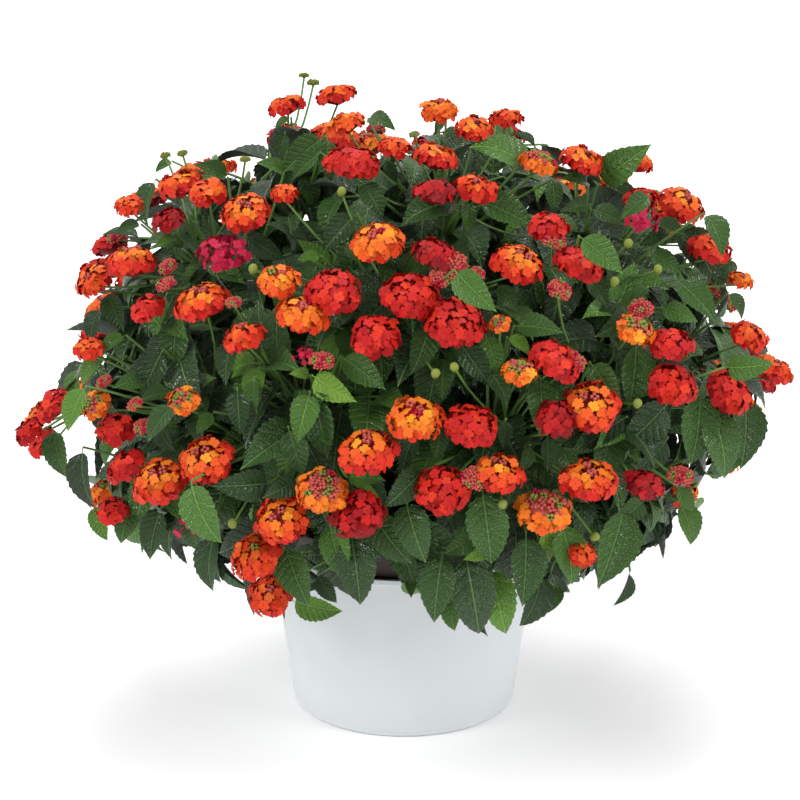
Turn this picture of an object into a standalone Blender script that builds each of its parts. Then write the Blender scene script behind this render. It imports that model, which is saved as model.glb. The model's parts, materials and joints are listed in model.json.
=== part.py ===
"""A lantana in full flower, standing in a plain round pot.

Run it with: blender --background --python part.py
Units are metres and +Z is up. The origin is the centre of the pot's foot, on the floor, and the
plant's best side faces -Y.
"""

import math
import random

import bmesh
import bpy
from mathutils import Matrix, Vector
from mathutils.bvhtree import BVHTree

# Pot, inner pot and potting mix
GAP = 0.0003
POT_RIM_R = 0.112
POT_FOOT_R = 0.0925
POT_HEIGHT = 0.145
POT_WALL = 0.0024
POT_LIP = 0.0022
POT_FLOOR = 0.0032
POT_FOOT_BEVEL = 0.0025
POT_SIDES = 32
INNER_RIM_Z = 0.167
INNER_RIM_R = 0.1065
INNER_FOOT_R = 0.084
INNER_WALL = 0.0016
INNER_COLLAR_DEPTH = 0.024
INNER_COLLAR_STEP = 0.0018
DRAIN_HOLES = 4
DRAIN_HOLE_R = 0.006
DRAIN_RING_R = 0.052
DRAIN_DEPTH = 0.02
HOLE_SIDES = 8
MIX_TOP_Z = 0.151
MIX_CROWN = 0.006
MIX_LEVELS = ((0.0, 1.0), (0.45, 0.8), (0.8, 0.3), (1.0, 0.0))
PLANTING_PLAY = 0.001

# Old wood
TRUNK_R = 0.010
TRUNK_FOOT_Z = 0.105
TRUNK_TOP_Z = 0.186
LIMB_R = 0.0052
FORK_R = 0.0075
LIMB_STEP = 0.005
LIMB_TURN = 8.0
LIMB_WAVE = 0.006
SIDE_LIMBS = 6
SIDE_LIMB_REACH = 0.105
SIDE_LIMB_Z = 0.222
TOP_LIMB_Z = 0.300
LIMB_LEAN = (0.45, 0.97)

# The canopy, a dome that hangs over the pot
CANOPY_CENTRE = Vector((0.0, 0.0, 0.262))
CANOPY_X = 0.318
CANOPY_Y = 0.290
CANOPY_RISE = 0.262
CANOPY_DROP = 0.165

# Branches: the share of the way to the dome's surface, and where their ends point
BRANCH_SHARE = 0.72
BRANCH_R = (0.0030, 0.0019)
BRANCH_LEAN = 0.45
FORK_SPREAD = math.radians(62)
FORK_PUSH = 0.06
FORK_ROUNDS = 30
TWIG_SHARE = 0.87
TWIG_R = (0.0017, 0.0012)
TWIGS_A_BRANCH = 3
TWIG_SPREAD = 0.30
TWIG_STARTS = (0.25, 0.47, 0.69)
TWIG_LIFT = 0.01
STALK_R = (0.0013, 0.0010)
STUB_LENGTH = 0.014
STUB_R = 0.0018
SPRAY_REACH = 0.150
HEADS_A_SPRAY = 5
HEAD_SHIFTS = (0.0, -0.014, 0.012, -0.028)
STALK_BULGES = (0.012, 0.028, -0.004)
STALK_LEAN = 0.45
HEAD_LIFT = Vector((0, 0, 0.45))
HEAD_CROWN = 0.75
HEAD_UNDER = 0.45
HEAD_SINK = 0.5
TOP_ENDS = [(20, 64), (140, 70), (262, 62)]
SECTOR_ENDS = [(-3, 40), (-20, 13), (19, 9), (2, -24)]

# Leaves
LEAF_LENGTH = 0.058
LEAF_WIDTH = 0.031
LEAF_THICK = 0.0009
LEAF_ARCH = 0.16
LEAF_STATIONS = ((0.1, -1), (0.1, 1), (0.97, 0))
LEAF_FORWARD = 0.5
LEAF_DROOP = 0.45
LEAF_TILT = 0.25
LEAF_FREE = 0.004
LEAF_ROOM = 2.5
LEAF_TRIES = 2
LEAF_WIDEST = 0.42
LEAF_FOLD = 0.12
CLEARANCE = 0.0006

# The sight line that the front flower heads are placed along, in the picture's own 800 by 800
VIEWPOINT = Vector((-0.0034, -2.0, 0.882))
VIEW_PITCH = math.radians(17.3)
VIEW_FOCAL = 2558.0
VIEW_MIDDLE = 400.0
PIXEL = 0.00085
SIGHT_NEAR = -0.34
SIGHT_FAR = 0.14
SIGHT_STEPS = 120

# Front flower heads as seen from there: across, down, radius
FRONT_HEADS = [
    (285, 101, 17), (336, 90, 18), (343, 119, 18), (354, 155, 27), (395, 143, 16),
    (438, 106, 18), (475, 124, 19), (507, 114, 15), (541, 158, 19), (584, 155, 21),
    (437, 151, 21), (436, 186, 21), (478, 183, 20), (376, 236, 25), (179, 178, 22),
    (207, 188, 17), (167, 215, 16), (129, 202, 14), (245, 207, 24), (222, 246, 24),
    (284, 190, 13), (131, 255, 25), (91, 276, 20), (88, 345, 14), (200, 295, 27),
    (145, 305, 16), (279, 276, 20), (304, 308, 25), (242, 332, 20), (333, 286, 26),
    (375, 331, 23), (438, 248, 22), (410, 289, 27), (456, 316, 29), (521, 258, 25),
    (548, 222, 19), (582, 258, 24), (519, 367, 16), (560, 355, 25), (590, 402, 27),
    (558, 414, 20), (642, 195, 16), (684, 199, 24), (643, 214, 18), (712, 243, 22),
    (743, 277, 12), (752, 332, 19), (775, 364, 22), (733, 387, 25), (672, 338, 22),
    (674, 379, 24), (638, 325, 18), (590, 473, 28), (647, 480, 19), (498, 467, 24),
    (545, 504, 26), (585, 553, 13), (443, 485, 25), (473, 420, 25), (416, 412, 26),
    (366, 444, 28), (323, 485, 24), (357, 509, 26), (280, 517, 25), (253, 552, 25),
    (268, 592, 22), (203, 456, 26), (158, 475, 27), (122, 462, 18), (111, 508, 15),
    (114, 425, 18), (93, 403, 15), (182, 398, 15), (47, 402, 21), (26, 428, 15),
    (188, 520, 15),
]
BACK_HEADS = 130
BACK_HEAD_R = (0.016, 0.023)
BACK_HEIGHTS = (0.97, -0.35)
HEAD_ROOM = 0.006
TURNED_AWAY = 0.05
SPARE_HEAD_R = 0.018
SPARE_SHARE = 0.97
GOLDEN_ANGLE = math.radians(137.508)

SOLID = "Lantana"
SHAPES = "Cutters"


def clear_scene():
    for thing in list(bpy.data.objects):
        bpy.data.objects.remove(thing)
    for name in (SOLID, SHAPES):
        if name not in bpy.data.collections:
            bpy.context.scene.collection.children.link(bpy.data.collections.new(name))


def finish(name, colour, roughness):
    material = bpy.data.materials.new(name)
    material.use_nodes = True
    shader = material.node_tree.nodes["Principled BSDF"]
    shader.inputs["Base Color"].default_value = (*colour, 1)
    shader.inputs["Roughness"].default_value = roughness
    shader.inputs["Metallic"].default_value = 0.0
    return material


def add_object(name, mesh, material=None, collection=SOLID):
    thing = bpy.data.objects.new(name, mesh)
    bpy.data.collections[collection].objects.link(thing)
    if material:
        mesh.materials.clear()
        mesh.materials.append(material)
    return thing


def add_cutter(name, mesh):
    thing = add_object(name, mesh, collection=SHAPES)
    thing.hide_render = True
    thing.display_type = "WIRE"
    return thing


def add_boolean(target, cutter, operation, shapes_cross=False):
    cut = target.modifiers.new(cutter.name, "BOOLEAN")
    cut.operation = operation
    cut.solver = "EXACT"
    cut.use_self = shapes_cross
    cut.object = cutter


def mesh_from(bm, name):
    mesh = bpy.data.meshes.new(name)
    bm.to_mesh(mesh)
    bm.free()
    return mesh


def join_meshes(name, meshes):
    bm = bmesh.new()
    for mesh in meshes:
        bm.from_mesh(mesh)
        bpy.data.meshes.remove(mesh)
    return mesh_from(bm, name)


# Pots and potting mix


def turn(name, profile, material, sides=POT_SIDES):
    """Turns a closed profile, a list of (radius, height) run down its outer side, round the Z axis."""
    mesh = bpy.data.meshes.new(name)
    points = [(r, 0, z) for r, z in profile]
    mesh.from_pydata(points, [(i, i + 1) for i in range(len(points) - 1)], [])
    thing = add_object(name, mesh, material)
    screw = thing.modifiers.new("Turn", "SCREW")
    screw.steps = sides
    screw.render_steps = sides
    screw.use_merge_vertices = True
    screw.merge_threshold = 0.00005
    return thing


def drill_floor(pot, floor_z, phase):
    for i in range(DRAIN_HOLES):
        angle = phase + 2 * math.pi * i / DRAIN_HOLES
        bm = bmesh.new()
        place = Matrix.Translation(
            (DRAIN_RING_R * math.cos(angle), DRAIN_RING_R * math.sin(angle), floor_z)
        )
        bmesh.ops.create_cone(
            bm, cap_ends=True, segments=HOLE_SIDES, radius1=DRAIN_HOLE_R, radius2=DRAIN_HOLE_R,
            depth=DRAIN_DEPTH, matrix=place,
        )
        name = f"{pot.name}_drain_{i + 1}"
        add_boolean(pot, add_cutter(name, mesh_from(bm, name)), "DIFFERENCE")


def pot_radius(z):
    return POT_FOOT_R + (POT_RIM_R - POT_FOOT_R) * z / POT_HEIGHT


def make_outer_pot(material):
    floor = POT_FLOOR
    inside = POT_RIM_R - POT_WALL
    profile = [
        (0, floor),
        (pot_radius(floor) - POT_WALL - 0.004, floor),
        (pot_radius(floor) - POT_WALL, floor + 0.004),
        (inside, POT_HEIGHT - 0.003),
        (inside + 0.0004, POT_HEIGHT),
        (POT_RIM_R + POT_LIP * 0.6, POT_HEIGHT),
        (POT_RIM_R + POT_LIP, POT_HEIGHT - 0.0015),
        (POT_RIM_R + POT_LIP * 0.8, POT_HEIGHT - 0.0045),
        (pot_radius(POT_HEIGHT - 0.006), POT_HEIGHT - 0.006),
        (pot_radius(POT_FOOT_BEVEL * 1.4), POT_FOOT_BEVEL * 1.4),
        (POT_FOOT_R - POT_FOOT_BEVEL * 0.3, POT_FOOT_BEVEL * 0.4),
        (POT_FOOT_R - POT_FOOT_BEVEL, 0),
        (0, 0),
    ]
    pot = turn("outer_pot", profile, material)
    drill_floor(pot, 0.0, math.pi / DRAIN_HOLES)


def inner_radius(z):
    foot_z = POT_FLOOR + GAP
    collar_foot = INNER_RIM_Z - INNER_COLLAR_DEPTH
    slope = (INNER_RIM_R - INNER_COLLAR_STEP - INNER_FOOT_R) / (collar_foot - foot_z)
    return INNER_FOOT_R + slope * (z - foot_z)


def make_grower_pot(material):
    foot_z = POT_FLOOR + GAP
    floor = foot_z + INNER_WALL
    collar_foot = INNER_RIM_Z - INNER_COLLAR_DEPTH
    profile = [
        (0, floor),
        (inner_radius(floor) - INNER_WALL, floor),
        (inner_radius(collar_foot) - INNER_WALL, collar_foot),
        (INNER_RIM_R - INNER_WALL, collar_foot + 0.003),
        (INNER_RIM_R - INNER_WALL, INNER_RIM_Z),
        (INNER_RIM_R, INNER_RIM_Z),
        (INNER_RIM_R, collar_foot),
        (inner_radius(collar_foot), collar_foot),
        (INNER_FOOT_R, foot_z),
        (0, foot_z),
    ]
    pot = turn("grower_pot", profile, material)
    drill_floor(pot, foot_z, 0.0)


def make_potting_mix(material):
    foot_z = POT_FLOOR + GAP + INNER_WALL + GAP
    collar_foot = INNER_RIM_Z - INNER_COLLAR_DEPTH
    edge = INNER_RIM_R - INNER_WALL - GAP - 0.0004
    profile = [(edge * out, MIX_TOP_Z + MIX_CROWN * up) for out, up in MIX_LEVELS] + [
        (edge, collar_foot + 0.004),
        (inner_radius(collar_foot) - INNER_WALL - 0.0006, collar_foot - 0.001),
        (inner_radius(foot_z) - INNER_WALL - 0.0006, foot_z),
        (0, foot_z),
    ]
    mix = turn("potting_mix", profile, material, sides=POT_SIDES // 2)
    depth = 2 * (MIX_TOP_Z - TRUNK_FOOT_Z)
    bm = bmesh.new()
    bmesh.ops.create_cone(
        bm, cap_ends=True, segments=HOLE_SIDES, radius1=TRUNK_R * 0.9 + PLANTING_PLAY,
        radius2=TRUNK_R * 1.1 + PLANTING_PLAY, depth=depth,
        matrix=Matrix.Translation((0, 0, TRUNK_FOOT_Z - PLANTING_PLAY + depth / 2)),
    )
    add_boolean(mix, add_cutter("planting_hole", mesh_from(bm, "planting_hole")), "DIFFERENCE")


# Simple closed shapes that the plant is grown from


def tube(points, radii, level=0):
    """A tapering stem along points, four-sided at level 0 and six-sided at level 1, as a mesh."""
    curve = bpy.data.curves.new("stem", "CURVE")
    curve.dimensions = "3D"
    curve.bevel_depth = 1.0
    curve.bevel_resolution = level
    curve.use_fill_caps = True
    spline = curve.splines.new("POLY")
    spline.points.add(len(points) - 1)
    for i, (spot, point) in enumerate(zip(spline.points, points)):
        spot.co = (*point, 1)
        spot.radius = radii[0] + (radii[1] - radii[0]) * i / (len(points) - 1)
    guide = bpy.data.objects.new("stem", curve)
    bpy.context.scene.collection.objects.link(guide)
    bpy.context.view_layer.update()
    evaluated = guide.evaluated_get(bpy.context.evaluated_depsgraph_get())
    mesh = bpy.data.meshes.new_from_object(evaluated)
    bpy.data.objects.remove(guide)
    bpy.data.curves.remove(curve)
    bm = bmesh.new()
    bm.from_mesh(mesh)
    bmesh.ops.remove_doubles(bm, verts=bm.verts, dist=0.00001)
    bmesh.ops.recalc_face_normals(bm, faces=bm.faces)
    bpy.data.meshes.remove(mesh)
    return mesh_from(bm, "stem")


def bend(start, lean, end, steps):
    """Points of a smooth bend from start to end that sets out towards lean."""
    points = []
    for i in range(steps + 1):
        t = i / steps
        points.append((1 - t) ** 2 * start + 2 * t * (1 - t) * lean + t * t * end)
    return points


def frame_matrix(along, facing, place):
    """A matrix that carries +Y to along and +Z as near as it can to facing."""
    y = along.normalized()
    x = y.cross(facing).normalized()
    z = x.cross(y)
    return Matrix.Translation(place) @ Matrix((x, y, z)).transposed().to_4x4()


def leaf(base, along, facing, length, free=0.0, thick=LEAF_THICK):
    """A pointed leaf, folded up a little along its midrib and bent down towards its tip.

    It starts free of its base by that length.
    """
    width = LEAF_WIDTH * length / LEAF_LENGTH
    bm = bmesh.new()
    bmesh.ops.create_circle(bm, cap_ends=True, cap_tris=True, segments=4, radius=1)
    for spot in bm.verts:
        across, up = spot.co.x, spot.co.y
        lift = LEAF_ARCH * length * (1 - up * up) - 0.5 * LEAF_ARCH * length * (up > 0.5)
        height = LEAF_WIDEST if abs(across) > 0.5 else 0.5 + 0.5 * up
        spot.co = (across * width / 2, height * length, lift + abs(across) * width * LEAF_FOLD)
    bmesh.ops.solidify(bm, geom=bm.faces[:], thickness=thick)
    bmesh.ops.recalc_face_normals(bm, faces=bm.faces)
    place = frame_matrix(along, facing, base + along * free)
    bmesh.ops.transform(bm, matrix=place, verts=bm.verts)
    return mesh_from(bm, "leaf")


def head_dome(centre, axis, radius):
    """The rounded body of a flower head, flatter underneath, facing along axis."""
    bm = bmesh.new()
    bmesh.ops.create_uvsphere(bm, u_segments=6, v_segments=3, radius=radius)
    for spot in bm.verts:
        spot.co.z *= HEAD_CROWN if spot.co.z > 0 else HEAD_UNDER
    turn_up = axis.to_track_quat("Z", "Y").to_matrix().to_4x4()
    bmesh.ops.transform(bm, matrix=Matrix.Translation(centre) @ turn_up, verts=bm.verts)
    return mesh_from(bm, "head")


# Where things grow


def dome_point(direction, share=1.0):
    d = direction.normalized()
    rise = CANOPY_RISE if d.z > 0 else CANOPY_DROP
    return CANOPY_CENTRE + share * Vector((d.x * CANOPY_X, d.y * CANOPY_Y, d.z * rise))


def dome_share(point):
    """How far out a point is: 1 on the dome's surface, 0 at its centre."""
    d = point - CANOPY_CENTRE
    rise = CANOPY_RISE if d.z > 0 else CANOPY_DROP
    return Vector((d.x / CANOPY_X, d.y / CANOPY_Y, d.z / rise)).length


def dome_normal(point):
    d = point - CANOPY_CENTRE
    rise = CANOPY_RISE if d.z > 0 else CANOPY_DROP
    return Vector((d.x / CANOPY_X**2, d.y / CANOPY_Y**2, d.z / rise**2)).normalized()


def compass(azimuth, height):
    """The direction at an azimuth round +Z from the front and a height angle, in degrees."""
    a, h = math.radians(azimuth), math.radians(height)
    return Vector((math.sin(a) * math.cos(h), -math.cos(a) * math.cos(h), math.sin(h)))


def sight_point(across, down):
    """Where the sight line through a place in the picture meets the dome, or passes nearest it."""
    ray = Vector(((across - VIEW_MIDDLE) / VIEW_FOCAL, 1, (VIEW_MIDDLE - down) / VIEW_FOCAL))
    ray.rotate(Matrix.Rotation(-VIEW_PITCH, 3, "X"))
    best = None
    for i in range(SIGHT_STEPS):
        y = SIGHT_NEAR + (SIGHT_FAR - SIGHT_NEAR) * i / SIGHT_STEPS
        point = VIEWPOINT + ray * ((y - VIEWPOINT.y) / ray.y)
        share = dome_share(point)
        if best is None or share < best[0]:
            best = (share, point)
        if share <= 1:
            break
    return best[1]


def front_heads():
    return [(sight_point(x, y), r * PIXEL) for x, y, r in FRONT_HEADS]


def back_heads(taken):
    """Heads for the sides and back, spread by the golden angle and kept clear of those at the front."""
    rng = random.Random(7)
    top, low = BACK_HEIGHTS
    heads = []
    for i in range(BACK_HEADS):
        height = top + (low - top) * (i + 0.5) / BACK_HEADS
        angle = i * GOLDEN_ANGLE
        level = math.sqrt(1 - height * height)
        point = dome_point(Vector((math.cos(angle) * level, math.sin(angle) * level, height)))
        radius = rng.uniform(*BACK_HEAD_R)
        seen_from_front = dome_normal(point).dot((VIEWPOINT - point).normalized()) > TURNED_AWAY
        crowded = any((point - other).length < radius + r + HEAD_ROOM for other, r in taken)
        if not seen_from_front and not crowded:
            heads.append((point, radius))
    return heads


def branch_ends():
    """(limb number, direction) for each branch: limb 0 is the top one, the others go round."""
    ends = [(0, compass(a, h)) for a, h in TOP_ENDS]
    for limb in range(SIDE_LIMBS):
        middle = 360 * limb / SIDE_LIMBS
        ends += [(limb + 1, compass(middle + a, h)) for a, h in SECTOR_ENDS]
    return ends


def fork_point(limb):
    if limb == 0:
        return Vector((0, 0, TOP_LIMB_Z))
    out = compass(360 * (limb - 1) / SIDE_LIMBS + LIMB_TURN, 0)
    return out * SIDE_LIMB_REACH + Vector((0, 0, SIDE_LIMB_Z + LIMB_WAVE * (limb % 2)))


# What is already there, so that no two pieces cross


class Garden:
    """Keeps every shape that has been placed, with the piece it belongs to."""

    def __init__(self):
        self.placed = []

    def add(self, mesh, owner):
        self.placed.append((*self.measure(mesh), owner))

    @staticmethod
    def measure(mesh):
        corners = [v.co.copy() for v in mesh.vertices]
        low = Vector(map(min, zip(*corners)))
        high = Vector(map(max, zip(*corners)))
        tree = BVHTree.FromPolygons(corners, [list(p.vertices) for p in mesh.polygons])
        return low, high, tree

    def crosses(self, mesh, friends=()):
        low, high, tree = self.measure(mesh)
        for other_low, other_high, other, owner in self.placed:
            if owner in friends:
                continue
            apart = any(low[k] > other_high[k] or high[k] < other_low[k] for k in range(3))
            if not apart and tree.overlap(other):
                return True
        return False


# Growing the plant


def make_woody_stem(material, garden):
    ends = [Vector((0, 0, TRUNK_FOOT_Z)), Vector((0, 0, TRUNK_TOP_Z))]
    trunk = tube(ends, (TRUNK_R * 0.85, TRUNK_R), level=1)
    thing = add_object("woody_stem", trunk, material)
    garden.add(trunk, "woody_stem")
    for limb in range(SIDE_LIMBS + 1):
        end = fork_point(limb)
        out = Vector((end.x, end.y, 0)).normalized()
        foot = Vector((0, 0, TRUNK_TOP_Z - 0.004))
        if limb:
            foot = out * TRUNK_R * 0.4 + Vector((0, 0, TRUNK_TOP_Z - 0.010 - LIMB_STEP * (limb % 3)))
        lean = Vector((end.x * LIMB_LEAN[0], end.y * LIMB_LEAN[0], end.z * LIMB_LEAN[1]))
        shape = tube(bend(foot, lean, end, 3), (LIMB_R, LIMB_R * 0.8))
        bm = bmesh.new()
        bmesh.ops.create_uvsphere(
            bm, u_segments=6, v_segments=4, radius=FORK_R, matrix=Matrix.Translation(end)
        )
        for label, mesh in (("limb", shape), ("fork", mesh_from(bm, "fork"))):
            garden.add(mesh, "woody_stem")
            add_boolean(thing, add_cutter(f"{label}_{limb}", mesh), "UNION")


def fork_directions(limb, ends):
    """Directions in which the branches leave a fork, spread apart but each towards its own end."""
    fork = fork_point(limb)
    wanted = [(dome_point(d, BRANCH_SHARE) - fork).normalized() for d in ends]
    for _ in range(FORK_ROUNDS):
        pushed = []
        for i, d in enumerate(wanted):
            away = Vector((0, 0, 0))
            for j, other in enumerate(wanted):
                if i != j and d.angle(other) < FORK_SPREAD:
                    away += (d - other).normalized() * FORK_PUSH
            pushed.append((d + away).normalized())
        wanted = pushed
    return wanted


def branch_axes():
    """For each branch, the points of its axis from the fork to its flowering end."""
    ends = branch_ends()
    axes = []
    for limb in range(SIDE_LIMBS + 1):
        own = [d for k, d in ends if k == limb]
        fork = fork_point(limb)
        for direction, leave in zip(own, fork_directions(limb, own)):
            start = fork + leave * (FORK_R + GAP + 0.0004)
            end = dome_point(direction, BRANCH_SHARE)
            lean = start + leave * (end - start).length * BRANCH_LEAN
            axes.append([start] + bend(start + leave * 0.006, lean, end, 2))
    return axes


def share_heads(axes, heads):
    """Gives each head to the branch whose end is nearest, the nearest few to each."""
    claims = [[] for _ in axes]
    for point, radius in heads:
        distances = [(point - axis[-1]).length for axis in axes]
        nearest = min(range(len(axes)), key=distances.__getitem__)
        if distances[nearest] < SPRAY_REACH:
            claims[nearest].append((distances[nearest], point, radius))
    spare = [(dome_point(axis[-1] - CANOPY_CENTRE, SPARE_SHARE), SPARE_HEAD_R) for axis in axes]
    return [
        [(point, radius) for _, point, radius in sorted(claim, key=lambda c: -c[2])] or [extra]
        for claim, extra in zip(claims, spare)
    ]


def stalk_and_dome(setting_out, outward, point, radius, bulge, extra=0.0):
    """One flower head on its stalk, both made fatter by extra."""
    facing = (dome_normal(point) + HEAD_LIFT).normalized()
    centre = point - facing * radius * HEAD_SINK
    lean = setting_out.lerp(centre, STALK_LEAN) + outward * bulge
    stalk = tube([setting_out, lean, centre], [r + extra for r in STALK_R])
    return stalk, head_dome(centre, facing, radius + extra)


def room_for_head(setting_out, outward, claim, garden, own):
    """The first place near the wanted one where a head and its stalk cross nothing, or None."""
    point, radius = claim
    for shift in HEAD_SHIFTS:
        for bulge in STALK_BULGES:
            place = point + dome_normal(point) * shift
            shape = (setting_out, outward, place, radius, bulge)
            stalk, dome = stalk_and_dome(*shape, extra=CLEARANCE)
            if garden.crosses(dome):
                break
            if not garden.crosses(stalk, own):
                return stalk_and_dome(*shape)
    return None


def spray_shapes(axis, claims, garden, spray):
    """The stub, stalks and heads of one spray, leaving out a head that finds no room."""
    outward = (axis[-1] - axis[-2]).normalized()
    foot = axis[-1] + outward * (GAP + 0.0002)
    stub = tube([foot, foot + outward * STUB_LENGTH], (STUB_R, STUB_R))
    stalks, domes = [], []
    for claim in claims:
        if len(domes) < HEADS_A_SPRAY:
            height = 0.35 + 0.6 * len(domes) / HEADS_A_SPRAY
            setting_out = foot + outward * STUB_LENGTH * height
            found = room_for_head(setting_out, outward, claim, garden, (spray,))
            if found:
                stalks.append(found[0])
                domes.append(found[1])
                garden.add(found[0], spray)
                garden.add(found[1], spray)
    garden.add(stub, spray)
    return stub, stalks, domes


def grow_together(name, material, first, groups):
    """One closed piece: the first shape with each group of shapes joined onto it."""
    thing = add_object(name, first, material)
    for label, meshes in groups:
        if meshes:
            joined = join_meshes(f"{name}_{label}", meshes)
            add_boolean(thing, add_cutter(f"{name}_{label}", joined), "UNION", shapes_cross=True)
    return thing


def twig_paths(axis, rng):
    """Side twigs that spread from the outer half of a branch to the ground round its end."""
    out = dome_normal(axis[-1])
    side = out.orthogonal().normalized()
    phase = rng.uniform(0, 2 * math.pi)
    paths = []
    for k in range(TWIGS_A_BRANCH):
        turn_by = Matrix.Rotation(phase + 2 * math.pi * k / TWIGS_A_BRANCH, 3, out)
        aim = (axis[-1] - CANOPY_CENTRE).normalized() + TWIG_SPREAD * (turn_by @ side)
        start = axis[-2].lerp(axis[-1], TWIG_STARTS[k])
        end = dome_point(aim, TWIG_SHARE)
        lean = start.lerp(end, 0.5) + out * TWIG_LIFT
        paths.append([start, lean, end])
    return paths


def leaf_place(path, at, side, rng):
    """Where a leaf grows on a twig: its base, the way its tip points, the way it faces, its length."""
    stem = (path[2] - path[1]).normalized()
    spot = path[1].lerp(path[2], at)
    out = dome_normal(spot)
    across = stem.cross(out).normalized()
    forward = LEAF_FORWARD * rng.uniform(0.3, 1.5) if side else 1.0
    droop = Vector((0, 0, -LEAF_DROOP * rng.uniform(0.2, 1.4)))
    along = (side * across + forward * stem + droop).normalized()
    facing = (out + LEAF_TILT * side * across).normalized()
    base = spot + side * across * TWIG_R[1] * 0.4
    return base, along, facing, LEAF_LENGTH * rng.uniform(0.82, 1.1)


def branch_shapes(axis, garden, name, rng):
    twigs, leaves = [], []
    for path in twig_paths(axis, rng):
        if garden.crosses(tube(path, [r + CLEARANCE for r in TWIG_R]), (name,)):
            continue
        twigs.append(tube(path, TWIG_R))
        garden.add(twigs[-1], name)
        for station in LEAF_STATIONS:
            for _ in range(LEAF_TRIES):
                place = leaf_place(path, *station, rng)
                blade = leaf(*place)
                clear = not garden.crosses(leaf(*place, free=LEAF_FREE, thick=LEAF_THICK * LEAF_ROOM))
                if clear and not garden.crosses(blade, (name,)):
                    leaves.append(blade)
                    garden.add(leaves[-1], name)
                    break
    return twigs, leaves


def grow_plant(leaf_green, flower_colours, garden):
    axes = branch_axes()
    heads = front_heads()
    heads += back_heads(heads)
    names = [(f"branch_{i + 1:02d}", f"flower_spray_{i + 1:02d}") for i in range(len(axes))]
    stems = [tube(axis, BRANCH_R) for axis in axes]
    for stem, (branch, _) in zip(stems, names):
        garden.add(stem, branch)
    sprays = [
        spray_shapes(axis, claims, garden, name[1])
        for axis, claims, name in zip(axes, share_heads(axes, heads), names)
    ]
    for i, (branch, spray) in enumerate(names):
        twigs, leaves = branch_shapes(axes[i], garden, branch, random.Random(100 + i))
        grow_together(branch, leaf_green, stems[i], [("twigs", twigs), ("leaves", leaves)])
        stub, stalks, domes = sprays[i]
        colour = flower_colours[i % len(flower_colours)]
        grow_together(spray, colour, stub, [("stalks", stalks), ("heads", domes)])


def measure_pots(garden):
    bpy.context.view_layer.update()
    graph = bpy.context.evaluated_depsgraph_get()
    for name in ("outer_pot", "grower_pot", "potting_mix"):
        evaluated = bpy.data.objects[name].evaluated_get(graph)
        mesh = bpy.data.meshes.new_from_object(evaluated)
        garden.add(mesh, name)
        bpy.data.meshes.remove(mesh)


def main():
    clear_scene()
    garden = Garden()
    make_outer_pot(finish("white_plastic", (0.80, 0.83, 0.84), 0.45))
    make_grower_pot(finish("brown_plastic", (0.055, 0.03, 0.028), 0.5))
    make_potting_mix(finish("potting_mix", (0.045, 0.028, 0.018), 0.95))
    measure_pots(garden)
    make_woody_stem(finish("old_wood", (0.22, 0.15, 0.09), 0.8), garden)
    leaf_green = finish("leaf_green", (0.035, 0.11, 0.03), 0.4)
    flower_colours = [
        finish("flower_orange", (0.85, 0.18, 0.01), 0.5),
        finish("flower_red", (0.70, 0.02, 0.01), 0.5),
        finish("flower_scarlet", (0.80, 0.06, 0.01), 0.5),
    ]
    grow_plant(leaf_green, flower_colours, garden)


main()
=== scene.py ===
"""Looks for a lantana in full flower, standing in a plain round pot.

Units are metres and +Z is up. The origin is the centre of the pot's foot, on the floor, and the
plant's best side faces -Y. Branches and sprays grow along the same lines as the solids that they
stand for; here they carry every leaf, floret, bud and berry.
"""

import json
import math
import random
from collections import namedtuple

import bmesh
import bpy
from mathutils import Matrix, Vector

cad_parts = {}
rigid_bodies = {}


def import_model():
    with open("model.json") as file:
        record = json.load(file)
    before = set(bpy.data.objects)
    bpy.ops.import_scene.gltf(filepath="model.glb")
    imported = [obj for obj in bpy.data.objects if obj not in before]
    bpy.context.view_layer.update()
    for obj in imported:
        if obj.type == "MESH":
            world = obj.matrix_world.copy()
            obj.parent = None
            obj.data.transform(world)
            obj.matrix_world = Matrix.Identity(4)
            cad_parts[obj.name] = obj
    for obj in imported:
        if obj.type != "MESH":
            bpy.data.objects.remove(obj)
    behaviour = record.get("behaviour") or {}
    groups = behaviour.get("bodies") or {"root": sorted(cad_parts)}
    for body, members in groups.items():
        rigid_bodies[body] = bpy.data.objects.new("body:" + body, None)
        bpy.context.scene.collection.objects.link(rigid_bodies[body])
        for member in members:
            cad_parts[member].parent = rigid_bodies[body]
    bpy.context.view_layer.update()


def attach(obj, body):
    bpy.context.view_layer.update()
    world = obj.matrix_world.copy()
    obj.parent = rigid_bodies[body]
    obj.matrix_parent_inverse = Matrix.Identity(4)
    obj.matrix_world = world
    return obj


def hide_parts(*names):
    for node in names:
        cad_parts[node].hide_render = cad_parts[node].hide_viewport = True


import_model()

# Pots and potting mix
POT_RIM_R = 0.112
POT_FOOT_R = 0.0925
POT_HEIGHT = 0.145
POT_WALL = 0.0024
POT_LIP = 0.0022
POT_FLOOR = 0.0035
POT_SIDES = 128
POT_CORNER = 0.0007
INNER_RIM_Z = 0.167
INNER_RIM_R = 0.1065
INNER_FOOT_R = 0.084
INNER_FOOT_Z = 0.0035
INNER_WALL = 0.0016
INNER_COLLAR_DEPTH = 0.024
INNER_COLLAR_STEP = 0.0018
INNER_CORNER = 0.0005
INNER_BAND = 0.0005
MIX_TOP_Z = 0.151
MIX_CROWN = 0.006
MIX_RINGS = 16
MIX_SIDES = 64
MIX_GAP = 0.0006
MIX_LUMPS = (-0.0016, 0.0010)
MIX_SEED = 5
CRUMB_R = 0.0026

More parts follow.
